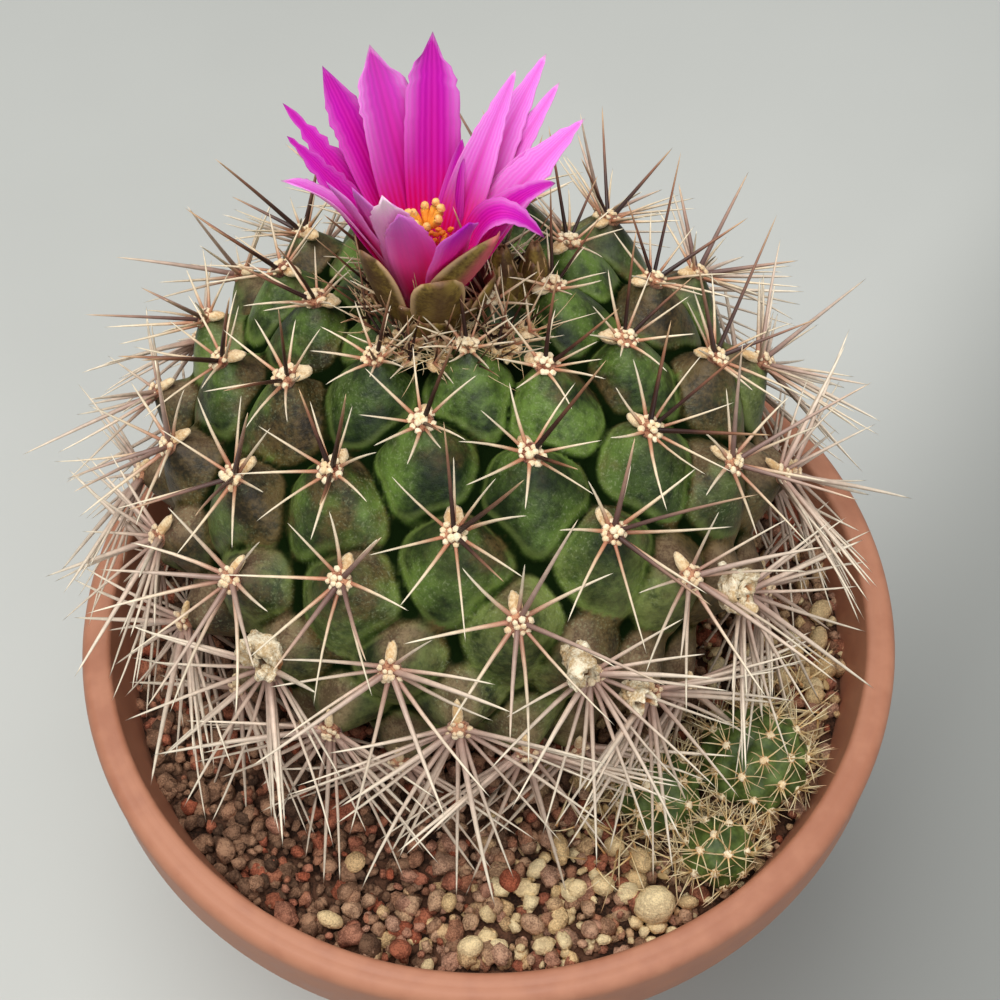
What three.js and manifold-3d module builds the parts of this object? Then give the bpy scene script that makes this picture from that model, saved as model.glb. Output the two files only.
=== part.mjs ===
// A flowering thelocactus in its round plastic pot, in millimetres with +Z up.
// The origin is the centre of the pot's flat base. The front of the plant is towards -Y.
import * as THREE from "three";
import { mergeVertices } from "three/addons/utils/BufferGeometryUtils.js";
import Module from "manifold-3d";

const wasm = await Module();
wasm.setup();

// Pot: a tapered wall with a rounded rim band that hangs over the wall like a skirt
const POT_HEIGHT = 125;
const RIM_RADIUS = 85;
const RIM_INNER_RADIUS = 78.8;
const RIM_DEPTH = 15;
const RIM_ROUNDING = 2.6;
const SKIRT_THICKNESS = 2.4;
const BASE_RADIUS = 57.5;
const POT_WALL = 3;
const POT_FLOOR = 4;
const POT_SIDES = 40;
const DRAIN_HOLES = 6;
const DRAIN_RADIUS = 5;
const DRAIN_CIRCLE = 38;

// Soil: gritty fill that stops below the rim
const SOIL_TOP = 113;
const SOIL_BOTTOM = POT_FLOOR + 0.3;
const SOIL_RINGS = 8;
const SOIL_SECTORS = 36;
const SOIL_ROUGHNESS = 1.1;
const CLEARANCE = 0.35;

// Plant body: an ellipsoid of areoles, leaning a little back, over a smaller fleshy core
const BODY_CENTRE = new THREE.Vector3(-4, 18, 148.7);
const BODY_RADIUS = 66.5;
const BODY_RISE = 48;
const BODY_LEAN_X = -0.094;
const BODY_LEAN_Y = -0.032;
const CORE_RADIUS = 51;
const CORE_RISE = 38;
const CORE_ROOT_DEPTH = 51;
const CORE_TAPER_DEPTH = 60;
const CORE_TAPER_POWER = 2.2;
const CORE_SIDES = 20;
const CORE_STEPS = 5;

// Spiral of tubercles, counted from the apex outwards
const SPIRAL_TURN = -2.4028;
const SPIRAL_START = 4.3564;
const SPIRAL_SPREAD = 0.0582;
const SPIRAL_POWER = 0.7933;
const SPIRAL_OFFSET = 0.37;
const FIRST_TUBERCLE = 2;
const LAST_TUBERCLE = 89;
const TUBERCLE_HEIGHT = 15.5;
const TUBERCLE_SINK = 5;
const TUBERCLE_CHIN = 2.6;
const TUBERCLE_WIDTH = 0.6;
const TUBERCLE_PLUMPNESS = 2.2;
const TUBERCLE_ROUNDNESS = 0.75;
const TUBERCLE_OVAL = 0.06;
const TUBERCLE_SIDES = 6;
const TUBERCLE_LEVELS = [0, 0.68, 0.945];
const AREOLE_RADIUS = 1.4;
const AREOLE_DROP = 0.9;

// The pot holds the low tubercles in: their reach from the pot's axis is limited
const HELD_REACH = 71;
const HELD_FROM = 133;
const HELD_SLOPE = 0.5;
const HELD_SOFTNESS = 2.5;

// Spines: three-sided needles. Lengths are in mm; rise and lean are in radians, from the
// areole's plane and from the way to the apex. Old areoles carry longer spines that droop.
const SPINE_ROOT_RADIUS = 0.6;
const SPINE_SINK = 1.8;
const YOUNG_SPINES = { radial: 13, radialRise: 0.75, central: 20, centralRise: 1.2, centralLean: 0.5 };
const OLD_SPINES = { radial: 19, radialRise: 0.35, central: 35, centralRise: 0.6, centralLean: Math.PI };
const DROOP = 0.65;
const SPINES_AGE_FROM = 6;
const SPINES_AGE_OVER = 55;

// Flower: a scaly tube that holds petals, which hold stamens and stigma
const FLOWER_FOOT = new THREE.Vector3(-9.5, 21.5, 187);
const TUBE_TOP = 8;
const TUBE_RADIUS = 7.8;
const TUBE_FOOT_RADIUS = 4.6;
const CUP_RADIUS = 7;
const CUP_FLOOR = 4;
const PLUG_TOP = 9;
const THROAT_FLOOR = 6;
const FLOWER_SIDES = 18;
const PLUG_RADIUS = 6.2;
const THROAT_RADIUS = 3.2;
const PETAL_THICKNESS = 0.7;
const PETAL_FOOT = 5;

// Each petal: direction in degrees, reach from the flower's axis, height, width, whorl from inside
const PETALS = [
  [118, 25, 45, 8.5, 0],
  [92, 24, 46, 9, 0],
  [58, 28, 40, 7, 0],
  [-70, 21, 42, 8, 0],
  [-112, 17, 45, 8.5, 0],
  [-152, 20, 41, 7.5, 0],
  [105, 27, 46, 7.5, 1],
  [78, 25, 46, 7.5, 1],
  [45, 33, 40, 8, 1],
  [18, 27, 36, 7.5, 1],
  [-45, 24, 38, 7.5, 1],
  [-92, 19, 42, 7.5, 1],
  [176, 23, 38, 8, 1],
  [133, 29, 42, 7, 2],
  [33, 33, 37, 7, 2],
  [-12, 26, 28, 7, 2],
  [148, 29, 37, 6, 2],
  [162, 26, 35, 6, 2],
];

// Directions of the scales on the flower's tube, with room for the bud that stands beside it
const SCALE_TURNS = [-112, -68, -24, 78, 120, 162, 206];

// Two closed buds beside the flower: x, y, foot height, radius, length
const BUDS = [
  [2, 26.6, 186, 2.7, 15],
  [9, 28, 185.5, 2.6, 14],
];

// Young offsets on the soil: x, y, height of the middle, radius, rows of areoles
const OFFSETS = [
  [52.6, -35.2, 119, 11, 4],
  [33.4, -41.6, 117.5, 8.6, 3],
  [44.4, -53.6, 116.5, 7, 3],
];
const OFFSET_SPINE = 7;

const draw = (n, k) => {
  const wave = Math.sin(n * 12.9898 + k * 78.233) * 43758.5453;
  return wave - Math.floor(wave);
};
const mix = (low, high, share) => low + (high - low) * share;
const clamp = THREE.MathUtils.clamp;

function toSolid(geometry) {
  const bare = geometry.clone();
  bare.deleteAttribute("normal");
  bare.deleteAttribute("uv");
  const merged = mergeVertices(bare, 1e-4);
  return new wasm.Manifold(new wasm.Mesh({
    numProp: 3,
    vertProperties: Float32Array.from(merged.attributes.position.array),
    triVerts: Uint32Array.from(merged.index.array),
  }));
}

// Slivers thinner than this, left where faces cross, are merged away
const SLIVER = 0.02;

function toGeometry(solid) {
  const mesh = solid.simplify(SLIVER).getMesh();
  const geometry = new THREE.BufferGeometry();
  geometry.setAttribute("position", new THREE.BufferAttribute(mesh.vertProperties.slice(), 3));
  geometry.setIndex(new THREE.BufferAttribute(mesh.triVerts.slice(), 1));
  geometry.computeVertexNormals();
  return geometry;
}

// Keeps the outer body of a joined solid, so a hollow sealed between its lobes is filled
function largest(solid) {
  return solid.decompose().reduce((best, piece) => (piece.volume() > best.volume() ? piece : best));
}

const joined = (solids) => largest(wasm.Manifold.union(solids));

// A closed skin over rings of points, which turn right-handed about the way from foot to tip
function skin(rings, foot, tip) {
  const count = rings[0].length;
  const points = [...rings.flat(), foot, tip];
  const footIndex = points.length - 2;
  const tipIndex = points.length - 1;
  const index = [];
  for (let j = 0; j < count; j += 1) {
    const next = (j + 1) % count;
    index.push(footIndex, next, j);
    for (let i = 0; i + 1 < rings.length; i += 1) {
      const low = i * count;
      const high = low + count;
      index.push(low + j, low + next, high + next);
      index.push(low + j, high + next, high + j);
    }
    const last = (rings.length - 1) * count;
    index.push(tipIndex, last + j, last + next);
  }
  const geometry = new THREE.BufferGeometry().setFromPoints(points);
  geometry.setIndex(index);
  return toSolid(geometry);
}

// A turned solid: pairs of radius and height from axis to axis, bottom to top
function turned(profile, sides) {
  const points = profile.map(([radius, height]) => new THREE.Vector2(radius, height));
  const geometry = new THREE.LatheGeometry(points, sides);
  geometry.rotateX(Math.PI / 2);
  return toSolid(geometry);
}

const innerRadiusAt = (z) => mix(
  BASE_RADIUS - POT_WALL,
  RIM_INNER_RADIUS,
  (z - POT_FLOOR) / (POT_HEIGHT - POT_FLOOR),
);

function makePot() {
  const bandFoot = POT_HEIGHT - RIM_DEPTH;
  const wallTop = innerRadiusAt(POT_HEIGHT - 4) + POT_WALL;
  const roundHigh = RIM_ROUNDING * (1 - Math.SQRT1_2);
  const body = turned([
    [0, 0],
    [BASE_RADIUS - 1.5, 0],
    [BASE_RADIUS, 1.5],
    [innerRadiusAt(bandFoot) + POT_WALL, bandFoot],
    [wallTop, POT_HEIGHT - 5],
    [RIM_RADIUS - SKIRT_THICKNESS, POT_HEIGHT - 5],
    [RIM_RADIUS - SKIRT_THICKNESS, bandFoot],
    [RIM_RADIUS - 0.6, bandFoot],
    [RIM_RADIUS, bandFoot + 0.8],
    [RIM_RADIUS, POT_HEIGHT - RIM_ROUNDING],
    [RIM_RADIUS - roundHigh, POT_HEIGHT - roundHigh],
    [RIM_RADIUS - RIM_ROUNDING, POT_HEIGHT],
    [RIM_INNER_RADIUS + 0.8, POT_HEIGHT],
    [RIM_INNER_RADIUS - 0.1, POT_HEIGHT - 1],
    [innerRadiusAt(POT_FLOOR), POT_FLOOR],
    [0, POT_FLOOR],
  ], POT_SIDES);
  const holes = [];
  for (let k = 0; k < DRAIN_HOLES; k += 1) {
    const angle = (2 * Math.PI * k) / DRAIN_HOLES;
    const hole = new THREE.CylinderGeometry(DRAIN_RADIUS, DRAIN_RADIUS, 3 * POT_FLOOR, 12);
    hole.rotateX(Math.PI / 2);
    hole.translate(DRAIN_CIRCLE * Math.cos(angle), DRAIN_CIRCLE * Math.sin(angle), POT_FLOOR / 2);
    holes.push(toSolid(hole));
  }
  return body.subtract(wasm.Manifold.union(holes));
}

function makeSoil() {
  const top = [];
  const wallAt = (z) => innerRadiusAt(z) - CLEARANCE;
  const edge = wallAt(SOIL_TOP - 1);
  const ring = (radius, height) => Array.from({ length: SOIL_SECTORS }, (_, j) => {
    const angle = (2 * Math.PI * j) / SOIL_SECTORS;
    return new THREE.Vector3(radius * Math.cos(angle), radius * Math.sin(angle), height(j));
  });
  top.push(ring(wallAt(SOIL_BOTTOM), () => SOIL_BOTTOM));
  for (let i = 0; i < SOIL_RINGS; i += 1) {
    const radius = edge * (1 - i / SOIL_RINGS);
    const rough = i === 0 ? 0 : SOIL_ROUGHNESS;
    top.push(ring(radius, (j) => SOIL_TOP - (i === 0 ? 1 : 0) + rough * (2 * draw(i + 3, j) - 1)));
  }
  return skin(top, new THREE.Vector3(0, 0, SOIL_BOTTOM), new THREE.Vector3(0, 0, SOIL_TOP));
}

const bodyTurn = new THREE.Matrix4().makeRotationY(BODY_LEAN_Y)
  .multiply(new THREE.Matrix4().makeRotationX(BODY_LEAN_X));
const fromBody = (point) => point.applyMatrix4(bodyTurn).add(BODY_CENTRE);

// Pulls a point in towards the pot's axis where the pot's wall and rim hold the plant in
function heldIn(point) {
  const reach = Math.hypot(point.x, point.y);
  const limit = HELD_REACH + HELD_SLOPE * Math.max(0, point.z - HELD_FROM);
  const held = limit - HELD_SOFTNESS * Math.log1p(Math.exp((limit - reach) / HELD_SOFTNESS));
  const share = held / reach;
  return new THREE.Vector3(point.x * share, point.y * share, point.z);
}

// The areole of tubercle n: its place, its outward way, the way to the apex and the side way
function areoleFrame(n) {
  const polar = SPIRAL_SPREAD * (n + SPIRAL_OFFSET) ** SPIRAL_POWER;
  const turn = SPIRAL_START + n * SPIRAL_TURN;
  const sine = Math.sin(polar);
  const cosine = Math.cos(polar);
  const place = heldIn(fromBody(new THREE.Vector3(
    BODY_RADIUS * sine * Math.cos(turn),
    BODY_RADIUS * sine * Math.sin(turn),
    BODY_RISE * cosine,
  )));
  const out = new THREE.Vector3(
    (sine * Math.cos(turn)) / BODY_RADIUS,
    (sine * Math.sin(turn)) / BODY_RADIUS,
    cosine / BODY_RISE,
  ).transformDirection(bodyTurn);
  const axis = new THREE.Vector3(0, 0, 1).transformDirection(bodyTurn);
  const side = new THREE.Vector3().crossVectors(axis, out).normalize();
  const up = new THREE.Vector3().crossVectors(out, side);
  return { n, place, out, up, side };
}

// Distance between neighbouring areoles, small at the apex
const spacingAt = (n) => mix(13, 22, clamp(n / 16, 0, 1)) - 2 * clamp((n - 70) / 22, 0, 1);
const heightAt = (n) => TUBERCLE_HEIGHT * mix(0.55, 1, clamp(n / 14, 0, 1));

function tubercle(frame, grow = 0) {
  const { n, place, out, up, side } = frame;
  const length = heightAt(n) + TUBERCLE_SINK;
  const width = TUBERCLE_WIDTH * spacingAt(n) + grow;
  const ringAt = (level) => {
    const radius = width * (1 - level ** TUBERCLE_PLUMPNESS) ** TUBERCLE_ROUNDNESS;
    const middle = place.clone()
      .addScaledVector(out, -length * (1 - level))
      .addScaledVector(up, -TUBERCLE_CHIN * Math.sin(Math.PI * level));
    return Array.from({ length: TUBERCLE_SIDES }, (_, j) => {
      const angle = (2 * Math.PI * j) / TUBERCLE_SIDES;
      const reach = radius * (1 + TUBERCLE_OVAL * Math.cos(2 * angle));
      return middle.clone()
        .addScaledVector(side, reach * Math.cos(angle))
        .addScaledVector(up, reach * Math.sin(angle));
    });
  };
  const foot = place.clone().addScaledVector(out, -length);
  const rings = TUBERCLE_LEVELS.map(ringAt);
  const tip = rings.at(-1)[0].clone().lerp(rings.at(-1)[TUBERCLE_SIDES / 2], 0.5);
  return skin(rings, foot, tip);
}

function coreSolid(grow = 0) {
  const profile = [[0, -CORE_ROOT_DEPTH - grow]];
  for (let i = 0; i <= CORE_STEPS; i += 1) {
    const depth = CORE_ROOT_DEPTH * (1 - i / CORE_STEPS);
    const radius = CORE_RADIUS * Math.sqrt(1 - (depth / CORE_TAPER_DEPTH) ** CORE_TAPER_POWER);
    profile.push([radius + grow, -depth - (i === 0 ? grow : 0)]);
  }
  for (let i = 1; i < CORE_STEPS; i += 1) {
    const angle = (Math.PI / 2) * (i / CORE_STEPS);
    profile.push([(CORE_RADIUS + grow) * Math.cos(angle), (CORE_RISE + grow) * Math.sin(angle)]);
  }
  profile.push([0, CORE_RISE + grow]);
  const shape = turned(profile, CORE_SIDES);
  return shape.transform(new THREE.Matrix4().setPosition(BODY_CENTRE).multiply(bodyTurn).elements);
}

// Directions and lengths of the spines of one areole
function spinesOf(frame) {
  const { n, place, out, up, side } = frame;
  const age = clamp((n - SPINES_AGE_FROM) / SPINES_AGE_OVER, 0, 1);
  const aged = (key) => mix(YOUNG_SPINES[key], OLD_SPINES[key], age);
  const spines = [];
  const grow = (turn, rise, length, edge) => {
    const flat = up.clone().multiplyScalar(Math.cos(turn)).addScaledVector(side, Math.sin(turn));
    const root = place.clone().addScaledVector(flat, edge).addScaledVector(out, -AREOLE_DROP);
    const way = flat.multiplyScalar(Math.cos(rise)).addScaledVector(out, Math.sin(rise)).normalize();
    spines.push({ root, out, way, length });
  };
  const radials = n < 12 ? 3 : 4;
  for (let k = 0; k < radials; k += 1) {
    const turn = (2 * Math.PI * (k + 0.25 + 0.5 * draw(n, k))) / radials + draw(n, 40);
    const down = (1 - Math.cos(turn)) / 2;
    const rise = aged("radialRise") + 0.3 * (draw(n, k + 10) - 0.5);
    const vigour = mix(0.85, 1.15, draw(n, k + 20));
    grow(turn, rise, aged("radial") * vigour * (0.75 + DROOP * down * age), AREOLE_RADIUS);
  }
  const lean = aged("centralLean") + 1.2 * (draw(n, 30) - 0.5);
  grow(lean, aged("centralRise"), aged("central") * mix(0.85, 1.1, draw(n, 31)), 0);
  return spines;
}

// A three-sided needle from a foot inside the flesh to its point
function needle(foot, point, radius) {
  const way = point.clone().sub(foot).normalize();
  const across = new THREE.Vector3(way.y, -way.x, 0.3).cross(way).normalize();
  const other = new THREE.Vector3().crossVectors(way, across);
  const ring = [0, 1, 2].map((j) => foot.clone()
    .addScaledVector(across, radius * Math.cos((2 * Math.PI * j) / 3))
    .addScaledVector(other, radius * Math.sin((2 * Math.PI * j) / 3)));
  const geometry = new THREE.BufferGeometry().setFromPoints([...ring, point]);
  geometry.setIndex([0, 2, 1, 0, 1, 3, 1, 2, 3, 2, 0, 3]);
  return toSolid(geometry);
}

const touches = (solid, others) => others.some((other) => solid.intersect(other).volume() > 0);

// A spine is kept whole, shortened or left out, so that it stays clear of what stands round it
function clearNeedle({ root, out, way, length: full }, radius, others) {
  for (const share of [1, 0.8, 0.6]) {
    const length = full * share;
    const start = root.clone().addScaledVector(way, 1);
    const beyond = root.clone().addScaledVector(way, length + 2 * CLEARANCE);
    if (touches(needle(start, beyond, radius + 2 * CLEARANCE), others)) continue;
    const foot = root.clone().addScaledVector(out, -SPINE_SINK);
    return needle(foot, root.clone().addScaledVector(way, length), radius);
  }
  return null;
}

const frames = [];
for (let n = FIRST_TUBERCLE; n <= LAST_TUBERCLE; n += 1) frames.push(areoleFrame(n));

// A petal or scale: foot and tip in radius and height, bent by a point between them
function blade(centre, turnDegrees, foot, bend, tip, width, options = {}) {
  const { thickness = PETAL_THICKNESS, widest = 0.6, cup = 0.16, steps = 4 } = options;
  const turn = THREE.MathUtils.degToRad(turnDegrees);
  const away = new THREE.Vector3(Math.cos(turn), Math.sin(turn), 0);
  const across = new THREE.Vector3(-Math.sin(turn), Math.cos(turn), 0);
  const curve = new THREE.QuadraticBezierCurve(
    new THREE.Vector2(...foot),
    new THREE.Vector2(...bend),
    new THREE.Vector2(...tip),
  );
  const at = (flat) => new THREE.Vector3(centre.x, centre.y, centre.z + flat.y)
    .addScaledVector(away, flat.x);
  const rings = [];
  for (let i = 0; i < steps; i += 1) {
    const share = i / steps;
    const middle = curve.getPoint(share);
    const tangent = curve.getTangent(share);
    const normal = new THREE.Vector3(0, 0, tangent.x).addScaledVector(away, -tangent.y);
    const rising = Math.sin((Math.PI / 2) * Math.min(share / widest, 1));
    const falling = Math.cos((Math.PI / 2) * Math.max((share - widest) / (1 - widest), 0));
    const half = (width / 2) * mix(0.4, 1, rising) * falling ** 0.8;
    const lift = cup * half * 2;
    const point = (side, face) => at(middle)
      .addScaledVector(across, side * half)
      .addScaledVector(normal, (side === 0 ? 0 : lift) + (face * thickness) / 2);
    rings.push([point(1, 1), point(0, 1), point(-1, 1), point(-1, -1), point(0, -1), point(1, -1)]);
  }
  return skin(rings, at(curve.getPoint(0)), at(curve.getPoint(1)));
}

function makePetals() {
  const plug = turned([
    [0, CUP_FLOOR + CLEARANCE],
    [PLUG_RADIUS, CUP_FLOOR + CLEARANCE],
    [PLUG_RADIUS, PLUG_TOP],
    [THROAT_RADIUS, PLUG_TOP],
    [THROAT_RADIUS, THROAT_FLOOR],
    [0, THROAT_FLOOR],
  ], FLOWER_SIDES).translate(FLOWER_FOOT.toArray());
  const petals = PETALS.map(([turn, reach, height, width, whorl]) => {
    const foot = [3.9 + 0.5 * whorl, PETAL_FOOT];
    const bend = [foot[0] + 1.2 + 0.06 * reach, 0.5 * height];
    return blade(FLOWER_FOOT, turn, foot, bend, [reach, height], width);
  });
  return joined([plug, ...petals]);
}

function makeTube() {
  const cup = turned([
    [0, 0],
    [TUBE_FOOT_RADIUS, 0],
    [TUBE_RADIUS, TUBE_TOP - 2],
    [TUBE_RADIUS + 0.1, TUBE_TOP],
    [CUP_RADIUS, TUBE_TOP],
    [CUP_RADIUS, CUP_FLOOR],
    [0, CUP_FLOOR],
  ], FLOWER_SIDES).translate(FLOWER_FOOT.toArray());
  const scales = SCALE_TURNS.map((turn, k) => blade(
    FLOWER_FOOT,
    turn,
    [TUBE_RADIUS - 1, 2 + (k % 2)],
    [TUBE_RADIUS + 2, 9.5],
    [15.2, 18.5 + 2 * (k % 2)],
    7,
    { steps: 3, widest: 0.45, cup: 0.1, thickness: 0.8 },
  ));
  return joined([cup, ...scales]);
}

function makeStamens() {
  const foot = THROAT_FLOOR + CLEARANCE;
  const core = turned([[0, foot], [2.6, foot], [2.7, 9], [2.2, 13], [0, 14.5]], 10)
    .translate(FLOWER_FOOT.toArray());
  const threads = [];
  const count = 14;
  const root = FLOWER_FOOT.clone().add(new THREE.Vector3(0, 0, 11));
  for (let k = 0; k < count; k += 1) {
    const turn = (2 * Math.PI * k) / count;
    const lean = 0.12 + 0.24 * (k % 3) / 2;
    const way = new THREE.Vector3(Math.cos(turn) * lean, Math.sin(turn) * lean, 1).normalize();
    const start = root.clone().add(new THREE.Vector3(Math.cos(turn), Math.sin(turn), 0));
    threads.push(needle(start, start.clone().addScaledVector(way, 9 + 2 * draw(k, 50)), 0.6));
  }
  const style = turned([[0, 12], [0.9, 12], [0.8, 22], [0, 22.6]], 6)
    .translate(FLOWER_FOOT.toArray());
  const lobeCount = 7;
  const lobes = Array.from({ length: lobeCount }, (_, k) => {
    const turn = (2 * Math.PI * k) / lobeCount;
    const way = new THREE.Vector3(Math.cos(turn), Math.sin(turn), 0.5).normalize();
    const start = FLOWER_FOOT.clone().add(new THREE.Vector3(0, 0, 21.6));
    return needle(start, start.clone().addScaledVector(way, 3.8), 0.7);
  });
  return joined([core, style, ...threads, ...lobes]);
}

function makeBud([x, y, z, radius, length]) {
  const centre = new THREE.Vector3(x, y, z);
  const heart = turned([
    [0, 0],
    [radius * 0.75, 0],
    [radius, length * 0.35],
    [radius * 0.72, length * 0.7],
    [0, length],
  ], 8).translate(centre.toArray());
  const scales = [0, 120, 240].map((turn) => blade(
    centre,
    turn + 30 * (x > 5 ? 1 : 0),
    [radius * 0.6, 1],
    [radius * 1.35, length * 0.4],
    [radius * 0.8, length * 0.9],
    radius * 1.5,
    { steps: 3, widest: 0.45, cup: 0, thickness: 0.7 },
  ));
  return joined([heart, ...scales]);
}

// Places on a small globe: rows of areoles, each row turned half a step from the last
function offsetAreoles(rows) {
  const places = [];
  for (let row = 0; row < rows; row += 1) {
    const polar = mix(0.12, 1.6, row / (rows - 1));
    const count = Math.max(1, Math.round((rows + 3) * Math.sin(polar)));
    for (let k = 0; k < count; k += 1) {
      const turn = (2 * Math.PI * (k + 0.5 * (row % 2))) / count;
      places.push(new THREE.Vector3(
        Math.sin(polar) * Math.cos(turn),
        Math.sin(polar) * Math.sin(turn),
        Math.cos(polar),
      ));
    }
  }
  return places;
}

function makeOffset([x, y, z, radius, rows], others, grow = 0) {
  const centre = new THREE.Vector3(x, y, z);
  const globe = new THREE.SphereGeometry(radius * 0.9 + grow, 10, 6);
  globe.rotateX(Math.PI / 2);
  const lumps = [toSolid(globe).translate(centre.toArray())];
  offsetAreoles(rows).forEach((out, index) => {
    const root = centre.clone().addScaledVector(out, radius);
    const side = new THREE.Vector3(-out.y, out.x, 0.01).normalize();
    const up = new THREE.Vector3().crossVectors(out, side);
    const wide = radius * 0.3 + grow;
    const ring = [0, 1, 2, 3].map((j) => root.clone()
      .addScaledVector(out, -radius * 0.3)
      .addScaledVector(side, wide * Math.cos((Math.PI / 2) * j))
      .addScaledVector(up, wide * Math.sin((Math.PI / 2) * j)));
    lumps.push(skin([ring], root.clone().addScaledVector(out, -radius * 0.4),
      root.clone().addScaledVector(out, grow)));
    if (grow > 0) return;
    for (let k = 0; k < 2; k += 1) {
      const turn = Math.PI * (k + draw(index, k + 60));
      const way = out.clone().multiplyScalar(0.8)
        .addScaledVector(side, Math.cos(turn))
        .addScaledVector(up, Math.sin(turn))
        .normalize();
      const edge = root.clone().addScaledVector(out, -0.9)
        .addScaledVector(side, Math.cos(turn)).addScaledVector(up, Math.sin(turn));
      const length = OFFSET_SPINE * mix(0.8, 1.15, draw(index, k + 70));
      const solid = clearNeedle({ root: edge, out, way, length }, 0.4, others);
      if (solid) lumps.push(solid);
    }
  });
  return joined(lumps);
}

const pot = makePot();
const petals = makePetals();
const tube = makeTube();
const stamens = makeStamens();
const buds = BUDS.map(makeBud);

// The soil has a plain hole round the plant's foot and round each offset
const grownBody = wasm.Manifold.union([
  coreSolid(CLEARANCE),
  ...frames.filter((frame) => frame.place.z < SOIL_TOP + TUBERCLE_HEIGHT)
    .map((frame) => tubercle(frame, CLEARANCE)),
]);
const grownOffsets = OFFSETS.map((offset) => makeOffset(offset, [], CLEARANCE));
const soil = largest(makeSoil().subtract(wasm.Manifold.union([grownBody, ...grownOffsets])));

const offsets = [];
OFFSETS.forEach((offset, index) => {
  offsets.push(makeOffset(offset, [pot, soil, ...offsets, ...grownOffsets.slice(index + 1)]));
});

// The body is cut clear of the flower's foot and of the buds' feet
const seats = [
  turned([
    [0, -CLEARANCE],
    [TUBE_FOOT_RADIUS + CLEARANCE, -CLEARANCE],
    [TUBE_RADIUS + 1.4, 2],
    [TUBE_RADIUS + 3.6, 9],
    [TUBE_RADIUS + 8, 17],
    [0, 17],
  ], 12).translate(FLOWER_FOOT.toArray()),
  ...BUDS.map(([x, y, z, radius]) => turned([
    [0, -CLEARANCE],
    [radius * 1.5 + CLEARANCE, -CLEARANCE],
    [radius * 1.5 + CLEARANCE, 12],
    [0, 12],
  ], 8).translate([x, y, z])),
];
const neighbours = [pot, soil, tube, petals, stamens, ...buds, ...offsets];
const flesh = joined([coreSolid(), ...frames.map((frame) => tubercle(frame))])
  .subtract(wasm.Manifold.union(seats));
const needles = frames.flatMap((frame) => spinesOf(frame)
  .map((spine) => clearNeedle(spine, SPINE_ROOT_RADIUS, neighbours))
  .filter(Boolean));
const body = joined([flesh, ...needles]);

const finish = (color, roughness) => new THREE.MeshStandardMaterial({ color, roughness, metalness: 0 });
const terracotta = finish(0xa9695b, 0.55);
const grit = finish(0x6d5347, 0.95);
const fleshGreen = finish(0x4c6a44, 0.6);
const scaleBrown = finish(0x7a7048, 0.6);
const magenta = finish(0xc62fb4, 0.5);
const orange = finish(0xf2a13a, 0.6);
const youngGreen = finish(0x6d8a4a, 0.6);

const part = new THREE.Group();
const add = (name, solid, material) => {
  const mesh = new THREE.Mesh(toGeometry(solid), material);
  mesh.name = name;
  part.add(mesh);
};
add("pot", pot, terracotta);
add("soil", soil, grit);
add("cactus_body", body, fleshGreen);
add("flower_tube", tube, scaleBrown);
add("flower_petals", petals, magenta);
add("flower_stamens", stamens, orange);
buds.forEach((bud, index) => add(`bud_${index + 1}`, bud, scaleBrown));
offsets.forEach((offset, index) => add(`offset_${index + 1}`, offset, youngGreen));

export default part;
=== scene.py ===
# %% [markdown]
# # A flowering thelocactus in its plastic pot
#
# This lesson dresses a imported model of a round, spiny cactus with one magenta flower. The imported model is
# the fixed frame: it says where the pot, the soil, the plant, the flower, the buds and the young offsets
# are. Each step below looks at one piece of the real plant and makes its fine surface.
#
# Nearly everything on a cactus repeats by a rule, so the pieces are worked out with numpy as whole
# arrays. Sizes are in millimetres, as on a ruler, and only the last step of each piece turns them into
# Blender's metres.

# %% Load the frame
import math

import bpy
import numpy as np
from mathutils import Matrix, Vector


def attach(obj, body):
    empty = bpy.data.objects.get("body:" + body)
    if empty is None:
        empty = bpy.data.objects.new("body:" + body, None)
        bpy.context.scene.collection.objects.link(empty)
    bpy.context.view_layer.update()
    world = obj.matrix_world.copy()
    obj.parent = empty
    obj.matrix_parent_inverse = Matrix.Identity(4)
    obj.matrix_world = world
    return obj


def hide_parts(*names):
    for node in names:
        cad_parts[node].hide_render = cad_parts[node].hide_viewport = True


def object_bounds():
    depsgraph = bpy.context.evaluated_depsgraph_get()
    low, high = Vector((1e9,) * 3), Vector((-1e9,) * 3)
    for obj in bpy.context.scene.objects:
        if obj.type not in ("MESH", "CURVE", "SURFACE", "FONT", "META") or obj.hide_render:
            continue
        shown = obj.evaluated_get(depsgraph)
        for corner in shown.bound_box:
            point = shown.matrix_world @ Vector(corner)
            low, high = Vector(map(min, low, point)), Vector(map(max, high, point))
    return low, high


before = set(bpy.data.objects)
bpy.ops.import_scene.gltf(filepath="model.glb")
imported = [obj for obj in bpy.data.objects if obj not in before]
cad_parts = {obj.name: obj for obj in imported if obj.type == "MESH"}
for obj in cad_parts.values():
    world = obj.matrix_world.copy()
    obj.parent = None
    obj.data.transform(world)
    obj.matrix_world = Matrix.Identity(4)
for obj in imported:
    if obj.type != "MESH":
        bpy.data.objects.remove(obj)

MM = 0.001
TAU = 2 * math.pi
cad_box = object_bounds()
cad_size = [round(value / MM) for corner in cad_box for value in corner]
print("frame:", len(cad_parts), "nodes, box in mm", cad_size)

# %% [markdown]
# ## Camera, light and floor
#
# The plant is seen from above at 55 degrees, from about 33 cm away, with a normal lens. A camera could be
# aimed with a constraint, but a plain matrix also holds the small roll of a hand-held shot, so the three
# axes are written down.

# %% Camera
CAMERA_AIM = np.array([2.7, 24.8, 125.0])
CAMERA_ELEVATION = math.radians(55.02)
CAMERA_DISTANCE = 329.8
CAMERA_ROLL = math.radians(-0.63)
CAMERA_LENS = 54
CAMERA_NEAR = 0.01


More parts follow.
